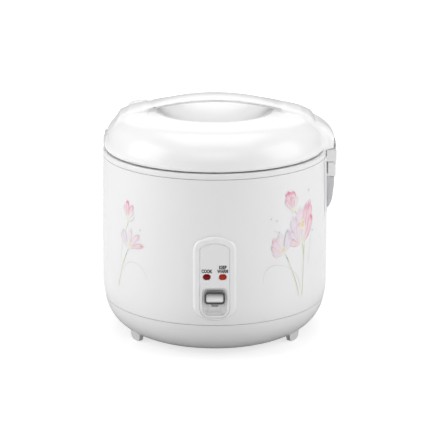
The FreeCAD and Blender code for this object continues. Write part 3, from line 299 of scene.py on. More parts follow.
def net(field, low, high, step):
    """Vertices and quads of the surface where the field is zero, in millimetres."""
    axes = [np.arange(low[axis], high[axis] + step, step) for axis in range(3)]
    grid = np.meshgrid(*axes, indexing="ij")
    values = field(*grid)
    inside = values < 0
    count = sum(cell_corners(inside, shift).astype(np.int8) for shift in CORNERS)
    active = (count > 0) & (count < 8)
    cells = np.argwhere(active)
    number = -np.ones(active.shape, dtype=np.int64)
    number[active] = np.arange(len(cells))
    total = np.zeros((len(cells), 3))
    weight = np.zeros(len(cells))
    for shift in CORNERS:
        for axis in range(3):
            if shift[axis]:
                continue
            other = list(shift)
            other[axis] = 1
            first = values[tuple((cells + shift).T)]
            second = values[tuple((cells + other).T)]
            crossed = (first < 0) != (second < 0)
            share = np.where(crossed, first / np.where(crossed, first - second, 1), 0)
            spot = np.array(shift, dtype=float)[None, :].repeat(len(cells), axis=0)
            spot[:, axis] += share
            total[crossed] += spot[crossed]
            weight[crossed] += 1
    spots = np.array([axes[axis][0] for axis in range(3)]) + (cells + total / weight[:, None]) * step
    faces = []
    for axis in range(3):
        one, two = [other for other in range(3) if other != axis]
        ahead = np.roll(inside, -1, axis=axis)
        changed = inside != ahead
        trim = [slice(1, -1)] * 3
        trim[axis] = slice(0, -1)
        mask = np.zeros_like(changed)
        mask[tuple(trim)] = changed[tuple(trim)]
        edges = np.argwhere(mask)
        leaving = inside[tuple(edges.T)]
        ring = []
        for back_one, back_two in ((1, 1), (0, 1), (0, 0), (1, 0)):
            cell_at = edges.copy()
            cell_at[:, one] -= back_one
            cell_at[:, two] -= back_two
            ring.append(number[tuple(cell_at.T)])
        quads = np.stack(ring, axis=1)
        flip = leaving if axis == 1 else ~leaving
        quads[flip] = quads[flip][:, ::-1]
        faces.append(quads)
    return spots, np.concatenate(faces)


SETTLE_STEPS = 4


def moulded(name, field, low, high, step):
    """A mesh object of the field's surface, its vertices drawn onto the surface itself."""
    spots, faces = net(field, low, high, step)
    start = spots.copy()
    for _ in range(SETTLE_STEPS):
        lean = slope(field, spots)
        size = np.maximum((lean * lean).sum(axis=1), 0.05)
        pull = lean * (field(*spots.T) / size)[:, None]
        spots = spots - pull
        away = spots - start
        far = np.linalg.norm(away, axis=1)
        spots = start + away * np.minimum(1, step * 0.9 / np.maximum(far, 1e-9))[:, None]
    lean = slope(field, spots, 0.05)
    lean /= np.maximum(np.linalg.norm(lean, axis=1), 1e-9)[:, None]
    mesh = bpy.data.meshes.new(name)
    placed = spots * MM
    placed[:, 0] += AXIS_X
    mesh.from_pydata(placed.tolist(), [], faces.tolist())
    mesh.polygons.foreach_set("use_smooth", [True] * len(mesh.polygons))
    mesh.normals_split_custom_set_from_vertices(lean.tolist())
    thing = bpy.data.objects.new(name, mesh)
    bpy.context.scene.collection.objects.link(thing)
    return thing


def add_piece(thing, body, finish, *nodes):
    """Put a made piece on its body, in place of the CAD nodes it stands for."""
    thing.data.materials.append(MADE[finish])
    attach(thing, body)
    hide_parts(*nodes)


def box_field(x, y, z, middle, half, bend):
    """A box with edges rounded by bend."""
    parts = [np.abs(value - centre) - size + bend
             for value, centre, size in zip((x, y, z), middle, half)]
    outside = np.sqrt(sum(np.maximum(part, 0) ** 2 for part in parts))
    return outside + np.minimum(np.maximum(np.maximum(parts[0], parts[1]), parts[2]), 0) - bend


# ---------------------------------------------------------------- lid

LID = 121.6
SHOULDER = 34.8
SHOULDER_AT = LID - SHOULDER
LID_STEP = 3.6
CROWN = 561.6
CROWN_LOW = LID_STEP + 42.0 - CROWN
CROWN_EDGE = 92.53
FOOT_LEAN = 0.58
LID_WALL = 2.4
DISH_WALL = 2.6
DISH_FLOOR = 18.0
DISH_LIP = 62.6
DISH_DEPTH = 23.0
DISH_ARC = (DISH_LIP ** 2 + DISH_DEPTH ** 2) / (2 * DISH_DEPTH)
BAND_ARC = 245.0
BAND_TOP = 57.2
BAND_HALF = 19.75
BAND_END = 103.5
BAND_THICK = 6.6
PILLAR_NEAR, PILLAR_FAR, PILLAR_HALF = 64.0, 90.0, 14.5
BLEND_FROM, BLEND_OVER = 66.0, 14.0
LUG_BACK, LUG_REACH, LUG_HALF, LUG_HIGH = 100.0, 33.2, 16.6, 31.5
LUG_FACE, LUG_INNER, LUG_TOP = 133.4, 108.0, 31.0
VENT_AT = (-82.0, 44.0)
CUP_OUTER, CUP_INNER = 17.2, 15.5
CUP_LOW, CUP_FLOOR = 20.4, 22.0
STEAM_SHARE, STEAM_BORE = 0.89, 4.2
HINGE_AT = (-117.0, 10.0)
BARREL, BARREL_HALF, NOTCH_BACK = 8.4, 18.6, 106.2
HOOK_MID, HOOK_HALF = (126.4, 0, 3.5), (5.2, 15.0, 8.5)
LID_GAP = 0.45
SEAM_MM = SEAM / MM


def dome_field(r, h):
    """The lid's outside: a shallow crown, a round shoulder and a foot that leans in below it."""
    crown = np.hypot(r, h - CROWN_LOW) - CROWN
    shoulder = np.hypot(r - SHOULDER_AT, h - LID_STEP) - SHOULDER
    turn = SHOULDER_AT / (LID_STEP - CROWN_LOW)
    skin = np.where(r < (h - CROWN_LOW) * turn, crown, shoulder)
    foot = r - LID + np.maximum(LID_STEP - h, 0) * FOOT_LEAN
    return np.where((h < LID_STEP) & (r > SHOULDER_AT), foot, skin)


def dish_field(r, h):
    """The ball that hollows the lid's top."""
    return np.hypot(r, h - DISH_FLOOR - DISH_ARC) - DISH_ARC


def dome_height(r):
    """Height of the lid's outside at a radius."""
    crown = CROWN_LOW + np.sqrt(CROWN ** 2 - r * r)
    inner = np.maximum(SHOULDER ** 2 - np.maximum(r - SHOULDER_AT, 0) ** 2, 0)
    return np.where(r < CROWN_EDGE, crown, LID_STEP + np.sqrt(inner))


def band_top(x, y):
    """Height of the carrying band's upper face."""
    arch = BAND_TOP - BAND_ARC + np.sqrt(BAND_ARC ** 2 - x * x)
    along = dome_height(np.minimum(np.hypot(x, y), 119)) + 2.5
    return smax(arch - 1.1 * (y / BAND_HALF) ** 2, along, 5.0)


def band_field(x, y, h):
    """The band across the lid that it is carried by, thinner towards its edges."""
    far = np.abs(x)
    steep = np.sqrt(1 + (np.minimum(far, 95) / BAND_ARC) ** 2)
    top = (h - band_top(x, y)) / steep
    side = np.abs(y) - BAND_HALF
    end = far - BAND_END
    below = BAND_TOP - BAND_THICK - x * x / 550.0
    lift = np.clip((np.abs(y) - 8.0) / 10.0, 0, 1)
    below = below + 3.6 * ease(lift)
    under = np.where(far < 78, below - h, 30.0 - h)
    solid = smax(smax(top, side, 3.2), end, 2.4)
    return smax(solid, under, 1.2)


def pillar_field(x, y, h):
    """What carries the band at each end of the hand gap."""
    wall = smax(PILLAR_NEAR + 0.012 * y * y - np.abs(x), np.abs(x) - PILLAR_FAR, 3.0)
    wall = smax(wall, np.abs(y) - PILLAR_HALF, 6.0)
    return smax(wall, h - band_top(x, y) + 2.6, 1.0)


def lug_field(x, y, h):
    """The lug over the latch, its outer face a quarter of a squared ellipse."""
    rise = np.clip(h / LUG_HIGH, 0, 0.9999)
    edge = LUG_BACK + LUG_REACH * (1 - rise ** 2.2) ** (1 / 2.2)
    skin = (x - edge) * (1 - 0.55 * rise ** 3)
    side = np.abs(y) - LUG_HALF - 0.2 * (LUG_FACE - x)
    solid = smax(skin, side, 9.0)
    solid = smax(solid, LUG_INNER - x, 2.0)
    return smax(solid, h - LUG_TOP, 3.0)


def lid_field(x, y, z):
    """The lid moulding: dome, dish, band and lug, less the hollow, hinge notch and hook pocket."""
    h = z - SEAM_MM
    r = np.hypot(x, y)
    dome = dome_field(r, h)
    dish = dish_field(r, h)
    skin = smax(dome, -dish, 3.4)
    near = np.clip((np.abs(x) - BLEND_FROM) / BLEND_OVER, 0, 1)
    band = band_field(x, y, h)
    skin = smin(skin, pillar_field(x, y, h), 7.0)
    outer = smin(skin, band, 0.8 + 8.6 * ease(near))
    lug = smax(lug_field(x, y, h), 0.5 - h, 1.2)
    dome_foot = smax(outer, LID_GAP - h, 0.5)
    outer = np.where(x > 60, smin(dome_foot, lug, 9.0), dome_foot)
    hollow = smax(dome + LID_WALL, DISH_WALL - dish, 3.0)
    solid = smax(outer, -hollow, 0.9)
    cup = np.hypot(x - VENT_AT[0], y - VENT_AT[1])
    wall = smax(smax(cup - CUP_OUTER, CUP_LOW - h, 0.8), dome + 0.2, 0.8)
    solid = smin(solid, wall, 0.8)
    solid = smax(solid, -smax(cup - CUP_INNER, CUP_FLOOR - h, 0.5), 0.9)
    hole = np.hypot(x - VENT_AT[0] * STEAM_SHARE, y - VENT_AT[1] * STEAM_SHARE) - STEAM_BORE
    solid = np.where(h < 28, smax(solid, -hole, 0.4), solid)
    barrel = np.hypot(x - HINGE_AT[0], h - HINGE_AT[1]) - BARREL
    notch = smin(barrel, np.maximum(x + NOTCH_BACK, h - HINGE_AT[1]), 0.5)
    solid = smax(solid, -smax(notch, np.abs(y) - BARREL_HALF, 0.8), 0.9)
    hook = box_field(x, y, h, HOOK_MID, HOOK_HALF, 1.0)
    return smax(solid, -hook, 0.9)


def lid():
    low = (-124.4, -124.4, SEAM_MM - 3.1)
    high = (135.4, 124.4, SEAM_MM + 60.0)
    shell = moulded("lid_shell", lid_field, low, high, 1.3)
    add_piece(shell, "lid", "lid_white", "outer_lid", "handle_band", "latch_cover")


# ---------------------------------------------------------------- body surface

WIDE_AT = 62.7
WIDEST_MM = WIDEST / MM
TAPER = 2.3
WALL_ARC = ((SEAM_MM - WIDE_AT) ** 2 / TAPER + TAPER) / 2
SIDE_ARC = 115.4


def wall_at(z):
    """Radius of the body's skin at a height."""
    above = np.sqrt(WALL_ARC ** 2 - (z - WIDE_AT) ** 2) - WALL_ARC
    below = np.sqrt(SIDE_ARC ** 2 - np.minimum(z - WIDE_AT, 0) ** 2) - SIDE_ARC
    return WIDEST_MM + np.where(z > WIDE_AT, above, below)


def stand_field(x, y, z):
    """How far a spot stands out from the body's skin."""
    return np.hypot(x, y) - wall_at(z)


# ---------------------------------------------------------------- front panel

PANEL_MID = 94.4
PANEL_HALF = (22.8, 46.4)
PANEL_CROWN = 31.8
PANEL_CORNER = (10.8, 31.2)
PANEL_BEND = 12.0
BEZEL_RIM, BEZEL_STAND = 7.0, 3.2
FACE_STAND = 2.6
LIP = 0.8
SLOT_MID = (0.0, 68.95)
SLOT_HALF = (12.6, 15.05)
SLOT_BENDS = (6.4, 4.4)
WELL_DEPTH, WELL_BACK = 3.4, 4.5
DOOR_MID, DOOR_HALF = 70.1, (3.4, 7.5)
LAMP_AT = 8.4
LAMP_LEVEL = 96.8
LAMP_HALF, LAMP_BEND = (3.95, 3.05), 3.0
KNOB_MID = (0.0, 73.1)
KNOB_HALF, KNOB_BEND = (10.5, 6.45), 3.0
KNOB_STAND, KNOB_BACK = 3.4, 2.7
PLATE_HALF, PLATE_BEND = (9.15, 4.7), 2.1
PIVOT = (-50.0, 50.0)
SLIDE_ARC = WIDEST_MM - 54.1


def outline_field(x, z):
    """Distance to the panel's outline: upright sides, each end a crown arc between two corner arcs."""
    across = np.abs(x)
    up = np.abs(z - PANEL_MID)
    low = PANEL_HALF[1] - PANEL_CROWN
    side = across - PANEL_HALF[0]
    corner = np.hypot(across - PANEL_CORNER[0], up - PANEL_CORNER[1]) - PANEL_BEND
    crown = np.hypot(across, up - low) - PANEL_CROWN
    on_crown = across * (PANEL_CORNER[1] - low) < (up - low) * PANEL_CORNER[0]
    edge = np.where(up < PANEL_CORNER[1], side, corner)
    return np.where(on_crown, crown, edge)


def flat_box(x, z, middle, half, bend):
    """Distance to a flat outline with rounded corners."""
    across = np.abs(x - middle[0]) - half[0] + bend
    up = np.abs(z - middle[1]) - half[1] + bend
    outside = np.hypot(np.maximum(across, 0), np.maximum(up, 0))
    return outside + np.minimum(np.maximum(across, up), 0) - bend


def slot_field(x, z):
    """Distance to the lever slot's outline, its lower corners rounder than its upper ones."""
    return flat_box(x, z, SLOT_MID, SLOT_HALF, np.where(z < SLOT_MID[1], *SLOT_BENDS))


def face_region(x, z):
    """Below zero on the face: inside the bezel and round the lever's slot."""
    return smin(outline_field(x, z) + BEZEL_RIM, slot_field(x, z) - 2.6, 1.5)


def bezel_field(x, y, z):
    """The raised white frame round the panel's face."""
    outline = outline_field(x, z)
    stand = stand_field(x, y, z)
    plate = smax(outline, stand - BEZEL_STAND + 0.07 * np.clip(-outline - 2.0, 0, 6), 3.4)
    ring = smax(plate, -face_region(x, z), 0.35)
    return np.maximum(ring, 0.1 - stand)


def face_field(x, y, z):
    """The panel's grey face, with a lip under the slot and openings for the lamps."""
    stand = stand_field(x, y, z)
    slot = slot_field(x, z)
    low = np.clip((74.0 - z) / 14.0, 0, 1)
    height = FACE_STAND + LIP * np.clip(1 - np.abs(slot - 1.3) / 1.3, 0, 1) * low
    plate = smax(face_region(x, z) + 0.06, stand - height, 0.35)
    plate = smax(plate, 0.1 - slot, 1.6)
    lamps = flat_box(np.abs(x), z, (LAMP_AT, LAMP_LEVEL), (4.1, 3.2), 3.1)
    plate = smax(plate, -lamps, 0.7)
    return np.maximum(plate, 0.1 - stand)


def well_field(x, y, z):
    """The lever's well: a shallow bowl with a door for the arm, its back cleared for the shutter's path."""
    stand = stand_field(x, y, z)
    slot = slot_field(x, z)
    depth = np.clip(1.2 + 0.6 * (z - 54.2), 1.2, WELL_DEPTH)
    outer = np.maximum(np.maximum(slot - 1.2, stand), -WELL_BACK - stand)
    bowl = (slot + (2.0 - stand) * 0.72) / 1.23
    hollow = smax(smax(slot, bowl, 1.0), -depth - stand, 2.0)
    door = np.maximum(np.abs(x) - DOOR_HALF[0], np.abs(z - DOOR_MID) - DOOR_HALF[1])
    path = np.maximum(np.hypot(y - PIVOT[0], z - PIVOT[1]) - SLIDE_ARC - 0.7, np.abs(x) - 5.6)
    return smax(np.maximum(smax(outer, -hollow, 0.4), -path), -door, 0.3)


def lamp_field(side):
    """The field of the lens on one side: a domed oval."""
    def field(x, y, z):
        flat = flat_box(x, z, (side * LAMP_AT, LAMP_LEVEL), LAMP_HALF, LAMP_BEND)
        stand = stand_field(x, y, z)
        crown = 0.7 * np.clip(-flat / 2.2, 0, 1) ** 0.6
        return smax(smax(flat, stand - 2.3 - crown, 0.5), -5.5 - stand, 0.3)
    return field


def panel():
    box_low = (-24.4, -131.0, 46.4)
    box_high = (24.4, -117.0, 142.4)
    bezel = moulded("bezel", bezel_field, box_low, box_high, 0.7)
    add_piece(bezel, "base", "bezel_white", "panel_bezel")
    face = moulded("face", face_field, box_low, box_high, 0.6)
    add_piece(face, "base", SLOTS["panel_face"], "panel_face")
    well = moulded("slot_well", well_field, (-16, -127.2, 51.0), (16, -115.0, 87.0), 0.6)
    add_piece(well, "base", SLOTS["lever_well"], "lever_well")
    for side, name, node in ((-1, "cook_lens", "lamp_cook"), (1, "warm_lens", "lamp_warm")):
        middle = side * LAMP_AT
        low = (middle - 5, -129.0, 92.4)
        high = (middle + 5, -117.0, 101.2)
        glass = moulded(name, lamp_field(side), low, high, 0.32)
        add_piece(glass, "base", SLOTS[node], node)


def knob():
    """The finger lever: a dark frame, a silver plate set in it, and the shutter on its arm."""
    front = -WIDEST_MM - KNOB_STAND
    rest = (0.0, KNOB_MID[1] + 0.65)

    def frame_field(x, y, z):
        flat = flat_box(x, z, KNOB_MID, KNOB_HALF, KNOB_BEND)
        plate = flat_box(x, z, rest, (9.3, 4.85), 2.2)
        solid = smax(smax(flat, front - y, 1.6), y + WIDEST_MM - KNOB_BACK, 4.0)
        return smax(solid, -smax(plate, y - front - 4.0, 0.3), 0.35)

    def plate_field(x, y, z):
        flat = flat_box(x, z, rest, PLATE_HALF, PLATE_BEND)
        rise = np.clip((z - rest[1]) / (2 * PLATE_HALF[1]) + 0.5, 0, 1)
        return smax(smax(flat, front + 0.4 + 1.8 * rise ** 1.8 - y, 0.4), y - front - 3.9, 0.2)

    def slide_field(x, y, z):
        """The curved shutter that keeps the slot's door closed all the way down."""
        ring = np.abs(np.hypot(y - PIVOT[0], z - PIVOT[1]) - SLIDE_ARC) - 0.5
        return smax(smax(ring, np.abs(x) - 4.9, 0.3), np.abs(z - 73.9) - 12.4, 0.3)

    low = (-12.0, front - 1.0, 65.2)
    high = (12.0, -WIDEST_MM + 5.0, 81.0)
    rim = moulded("knob_rim", frame_field, low, high, 0.45)
    add_piece(rim, "cook_lever", SLOTS["inner_lid_knob"], "lever_knob")
    plate = moulded("knob_plate", plate_field, low, (12.0, front + 4.4, 81.0), 0.4)
    add_piece(plate, "cook_lever", SLOTS["lever_knob"], "lever_knob")
    slide = moulded("knob_slide", slide_field, (-6.0, -123.0, 60.4), (6.0, -104.0, 87.6), 0.5)
    add_piece(slide, "cook_lever", SLOTS["lever_well"], "lever_knob")


# plate, foot, stem and barb: middle measured from the seam, half size and bend
LATCH_BLOCKS = (
    ((128.1, 0, -23.15), (4.7, 15.5, 8.25), 1.3),
    ((121.0, 0, -29.5), (4.1, 15.5, 1.9), 0.5),
    ((126.4, 0, -6.2), (1.1, 6.0, 11.8), 0.4),
    ((125.5, 0, 4.3), (1.3, 6.0, 1.3), 0.5),
)


def latch():
    """The white plate over the grey paddle, with the hook's stem behind it."""
    def hook_field(x, y, z):
        plate, foot, stem, barb = (box_field(x, y, z - SEAM_MM, *block) for block in LATCH_BLOCKS)
        return smin(smin(plate, foot, 0.6), smin(stem, barb, 0.8), 0.8)

    low = (115.0, -17.4, SEAM_MM - 33.4)
    high = (134.2, 17.4, SEAM_MM + 7.4)
    hook = moulded("hook_plate", hook_field, low, high, 0.7)
    add_piece(hook, "latch", SLOTS["latch_hook"], "latch_hook")


# ---------------------------------------------------------------- printed flowers

def on_shell(girth, level, lift):
    """A place on the skin: girth runs round it from the front, towards +X."""
    radius = wall_at(level)
    turn = girth / radius
    return np.stack([(radius + lift) * np.sin(turn), -(radius + lift) * np.cos(turn), level], axis=-1)


PRINT_LIFT, LIFT_STEP = 0.10, 0.012
PETAL_ROWS, PETAL_COLUMNS = 34, 23
PETAL_ROOT = (0.84, 0.80, 0.42)
STROKE_ROWS, STROKE_COLUMNS = 41, 7
DAB_RINGS, DAB_SPOKES = 6, 19


class Print:
    """Thin printed shapes on the shell, gathered in one mesh with a colour at every point."""

    def __init__(self, name, seed):
        self.name = name
        self.random = np.random.default_rng(seed)
        self.spots = []
        self.colours = []
        self.faces = []
        self.count = 0
        self.lift = PRINT_LIFT

    def patch(self, girth, level, colour):
        """A grid of points with a colour each."""
        rows, columns = girth.shape
        self.spots.append(on_shell(girth, level, self.lift).reshape(-1, 3))
        self.colours.append(colour.reshape(-1, 3))
        index = np.arange(rows * columns).reshape(rows, columns) + self.count
        quads = np.stack([index[:-1, :-1], index[:-1, 1:], index[1:, 1:], index[1:, :-1]], axis=-1)
        first = np.array([girth[1, 1] - girth[0, 0], level[1, 1] - level[0, 0]])
        second = np.array([girth[1, 0] - girth[0, 1], level[1, 0] - level[0, 1]])
        if first[0] * second[1] - first[1] * second[0] < 0:
            quads = quads[..., ::-1]
        flat = np.stack([girth.ravel(), level.ravel()], axis=1)
        one = flat[quads[..., 2] - self.count] - flat[quads[..., 0] - self.count]
        two = flat[quads[..., 3] - self.count] - flat[quads[..., 1] - self.count]
        quads = quads[one[..., 0] * two[..., 1] - one[..., 1] * two[..., 0] > 1e-6]
        self.faces.append(quads.reshape(-1, 4))
        self.count += rows * columns
        self.lift += LIFT_STEP

    def petal(self, base, heading, length, width, bend, tip, strength):
        """A petal from its base: heading is clockwise from upright, and bend turns it on the way."""
        v = np.linspace(0, 1, PETAL_ROWS)
        u = np.linspace(-1, 1, PETAL_COLUMNS)
        turn = np.radians(heading + bend * v)
        steps = PETAL_ROWS - 1
        girth = base[0] + np.concatenate([[0], np.cumsum(np.sin(turn[:-1]))]) * length / steps
        level = base[1] + np.concatenate([[0], np.cumsum(np.cos(turn[:-1]))]) * length / steps
        body = v ** 0.75 * np.sqrt(1 - v ** 7)
        waves = self.random.uniform(0, 6.3, 8)
        ragged = 1 + 0.08 * np.sin(v * 8 + waves[0]) + 0.06 * np.sin(v * 15 + waves[1])
        spread = width * body * ragged
        across = u[None, :] * spread[:, None]
        frill = 0.035 * np.sin(u[None, :] * 6 + waves[1]) + 0.03 * np.sin(u[None, :] * 11 + waves[0])
        cup = 1 - (0.08 * (1 - u[None, :] ** 2) + frill) * v[:, None] ** 2
        back = (cup - 1) * -length
        sine, cosine = np.sin(turn)[:, None], np.cos(turn)[:, None]
        s = girth[:, None] + across * cosine + sine * back
        z = level[:, None] - across * sine + cosine * back
        edge = np.abs(u)[None, :]
        long = v[:, None]
        streak = (0.5 + 0.5 * np.sin(u[None, :] * 7 + waves[2] + 1.5 * np.sin(long * 4 + waves[3])))
        streak = streak * (0.6 + 0.4 * np.sin(u[None, :] * 17 + waves[4] + 2 * np.sin(long * 7 + waves[5])))
        blot = 0.5 + 0.5 * np.sin(long * 6 + waves[6] + u[None, :] * 2) * np.sin(long * 3.1 + waves[7])
        rim = np.clip((edge - 0.55) / 0.3, 0, 1) + np.clip((long - 0.78) / 0.16, 0, 1)
        ink = np.clip(0.22 + 0.62 * streak * blot + 0.75 * np.clip(rim, 0, 1) * (0.4 + 0.6 * blot), 0, 1)
        ink = ink * np.clip(1.5 - np.abs(long - 0.68) * 1.1, 0, 1)
        soft = np.clip((1 - edge) / 0.16, 0, 1) * np.clip(long / 0.10, 0, 1)
        soft = soft * np.clip((1 - long) / 0.06, 0, 1)
        ink = (ink * soft * strength)[..., None]
        warm = np.clip(1 - long / 0.42, 0, 1)[..., None]
        tint = np.array(tip) * (1 - warm) + np.array(PETAL_ROOT) * warm
        self.patch(s, z, np.array(WHITE) * (1 - ink) + tint * ink)

    def flower(self, base, petals):
        """Petals from one base, each given as heading, length, width, bend, tip colour and strength."""
        for petal in petals:
            self.petal(base, *petal)

    def stroke(self, points, width, colour, strength):
        """A brush line through the points, thinner and fainter at both ends."""
        places = np.array(points, dtype=float)
        known = np.linspace(0, 1, len(places))
        fine = np.linspace(0, 1, STROKE_ROWS)
        degree = min(len(places) - 1, 3)
        s = np.polyval(np.polyfit(known, places[:, 0], degree), fine)
        z = np.polyval(np.polyfit(known, places[:, 1], degree), fine)
        along = np.stack([np.gradient(s), np.gradient(z)], axis=1)
        along /= np.linalg.norm(along, axis=1)[:, None]
        u = np.linspace(-1, 1, STROKE_COLUMNS)
        thick = width / 2 * (0.5 + 0.5 * np.sin(np.pi * np.clip(fine, 0.04, 0.96)) ** 0.5)
        wave = self.random.uniform(0, 6.3, 2)
        thick = thick * (1 + 0.18 * np.sin(fine * 13 + wave[0]))
        girth = s[:, None] - along[:, 1][:, None] * u[None, :] * thick[:, None]
        level = z[:, None] + along[:, 0][:, None] * u[None, :] * thick[:, None]
        ends = np.clip(np.minimum(fine, 1 - fine) / 0.05, 0, 1)
        ink = np.clip((1 - np.abs(u)) / 0.45, 0, 1)[None, :] * ends[:, None]
        ink = ink * (0.75 + 0.25 * np.sin(fine * 9 + wave[1]))[:, None] * strength
        ink = ink[..., None]
        self.patch(girth, level, np.array(WHITE) * (1 - ink) + np.array(colour) * ink)

    def dab(self, middle, size, colour, strength):
        """A soft round touch of the brush."""
        u = np.linspace(0, 1, DAB_RINGS)
        turn = np.linspace(0, 2 * np.pi, DAB_SPOKES)
        girth = middle[0] + size * u[:, None] * np.cos(turn)[None, :]
        level = middle[1] + size * u[:, None] * np.sin(turn)[None, :] * 1.15
        ink = (np.clip((1 - u) / 0.6, 0, 1)[:, None] * np.ones(DAB_SPOKES)[None, :] * strength)[..., None]
        self.patch(girth, level, np.array(WHITE) * (1 - ink) + np.array(colour) * ink)

    def finish(self):
        """Make the mesh, and let it ride the body."""
        spots = np.concatenate(self.spots)
        colours = np.concatenate(self.colours)
        faces = np.concatenate(self.faces)
        outward = spots * np.array([1, 1, 0])
        outward /= np.linalg.norm(outward, axis=1)[:, None]
        placed = spots * MM
        placed[:, 0] += AXIS_X
        mesh = bpy.data.meshes.new(self.name)
        mesh.from_pydata(placed.tolist(), [], faces.tolist())
        mesh.polygons.foreach_set("use_smooth", [True] * len(mesh.polygons))
        paint = mesh.color_attributes.new("paint", "FLOAT_COLOR", "POINT")
        paint.data.foreach_set("color", np.hstack([colours, np.ones((len(colours), 1))]).ravel())
        mesh.normals_split_custom_set_from_vertices(outward.tolist())
        thing = bpy.data.objects.new(self.name, mesh)
        bpy.context.scene.collection.objects.link(thing)
        thing.data.materials.append(print_ink())
        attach(thing, "base")


@cache
def print_ink():
    """Ink that takes its colour from the print's own points."""
    make = Nodes("printed_ink")
    paint = make.add("VertexColor", layer_name="paint")
    grain = make.add("Mix", data_type="RGBA", blend_type="MULTIPLY")
    grain.inputs[0].default_value = 1.0
    make.link(paint, grain.inputs[6], "Color")
    make.link(make.tint(make.noise(900.0, 3.0), (0.96, 0.96, 0.96), (1, 1, 1)), grain.inputs[7])
    make.link(grain, make.shader.inputs["Base Color"], 2)
    make.link(make.spread(make.noise(GLOSS, 4.0), 0.17, 0.24), make.shader.inputs["Roughness"])
    make.bump(make.noise(PEEL, 2.0), SKIN)
    return make.material


PINK = (0.80, 0.20, 0.33)
ROSE = (0.82, 0.34, 0.47)
LILAC = (0.66, 0.42, 0.62)
PALE = (0.84, 0.56, 0.66)
CREAM = (0.85, 0.80, 0.52)
GOLD = (0.86, 0.62, 0.14)
LEAF = (0.50, 0.62, 0.20)
OLIVE = (0.24, 0.30, 0.16)
GREY = (0.50, 0.52, 0.54)


def right_flowers():
    art = Print("flowers_right", 7)
    art.stroke([(54, 84), (56, 97), (68, 105), (84, 100), (97, 84), (103, 70)], 0.9, GREY, 0.45)
    art.stroke([(121, 128), (119, 110), (116, 92)], 0.8, GREY, 0.4)
    art.stroke([(64, 142), (76, 136), (90, 124)], 0.8, GREY, 0.4)
    art.stroke([(104, 121), (108, 112), (108, 88), (106, 61)], 1.8, LEAF, 0.75)
    art.stroke([(111, 123), (109, 108), (108, 92)], 1.5, LEAF, 0.6)
    art.stroke([(81, 112), (88, 98), (96, 80), (101, 62)], 1.7, LEAF, 0.7)
    art.stroke([(80, 114), (83, 109), (86, 103)], 1.3, OLIVE, 0.7)
    art.stroke([(93, 161), (95, 157), (98, 152)], 1.2, OLIVE, 0.6)
    art.flower((104, 120), (
        (-8, 38, 9.0, 10, PALE, 0.6), (-36, 33, 8.0, 30, LILAC, 0.7), (-62, 24, 7.0, 30, LILAC, 0.7),
        (16, 42, 8.5, -4, ROSE, 0.9), (36, 45, 8.0, -34, PINK, 1.0), (58, 34, 7.0, -58, PINK, 1.0),
        (-84, 18, 5.5, 30, PINK, 0.8), (-16, 24, 6.5, 6, ROSE, 0.7), (14, 22, 6.0, -6, PALE, 0.8)))
    art.stroke([(104, 124), (105, 132), (106, 142)], 2.0, LEAF, 0.55)
    art.dab((106, 142), 4.4, GOLD, 0.75)
    art.dab((108, 144), 1.6, (0.75, 0.25, 0.08), 0.75)
    art.flower((92, 160), (
        (-50, 17, 5.2, 30, ROSE, 0.8), (-26, 22, 5.6, 8, PINK, 1.0), (2, 20, 5.4, -14, PINK, 1.0),
        (28, 14, 4.6, -26, PALE, 0.7), (-12, 15, 4.6, 0, PINK, 0.9)))
    art.dab((92, 160), 2.6, CREAM, 0.8)
    art.flower((79, 114), (
        (-78, 19, 4.6, 46, ROSE, 0.8), (-50, 22, 5.2, 26, ROSE, 0.65), (-22, 22, 4.8, 8, PALE, 0.6),
        (10, 25, 4.4, 6, LILAC, 0.75), (34, 19, 3.6, -12, LILAC, 0.6), (-92, 14, 3.8, 20, ROSE, 0.5)))
    art.dab((77, 119), 3.0, GOLD, 0.55)
    for place in ((117, 177), (62, 155), (69, 152), (125, 131), (72, 139)):
        art.dab(place, 1.2, GREY, 0.6)
    art.finish()


def left_flowers():
    art = Print("flowers_left", 23)
    art.stroke([(-113, 88), (-106, 98), (-95, 102), (-84, 97), (-77, 86)], 0.9, GREY, 0.45)
    art.stroke([(-112, 131), (-115, 116), (-118, 100)], 0.9, LEAF, 0.3)
    art.stroke([(-104, 113), (-112, 100), (-119, 82), (-123, 68)], 1.8, LEAF, 0.7)
    art.stroke([(-104, 115), (-107, 110), (-110, 104)], 1.4, OLIVE, 0.7)
    art.stroke([(-104, 147), (-105, 142), (-108, 135)], 1.4, LEAF, 0.8)
    art.stroke([(-103, 146), (-98, 147), (-94, 152)], 1.0, OLIVE, 0.5)
    art.flower((-104, 148), (
        (-30, 15, 3.6, 14, ROSE, 0.7), (-6, 19, 4.4, 6, PINK, 0.95), (22, 17, 4.4, 6, PINK, 0.9),
        (46, 12, 3.4, -16, PALE, 0.6)))
    art.dab((-104, 149), 2.6, CREAM, 0.7)
    art.flower((-104, 115), (
        (-52, 19, 3.8, 26, LILAC, 0.55), (-26, 21, 4.4, 6, LILAC, 0.6), (4, 22, 4.6, 12, PALE, 0.55),
        (34, 23, 4.6, 16, ROSE, 0.6), (62, 22, 4.0, 22, PINK, 0.75)))
    art.dab((-102, 120), 2.8, GOLD, 0.4)
    art.dab((-86, 139), 1.2, GREY, 0.6)
    art.finish()


WORD_SIZE, WORD_BOLD, WORD_SQUEEZE, WORD_LIFT = 5.0, 0.26, 0.73, 0.06
WORD_LEVEL, WORD_ABOVE = 101.6, 105.9


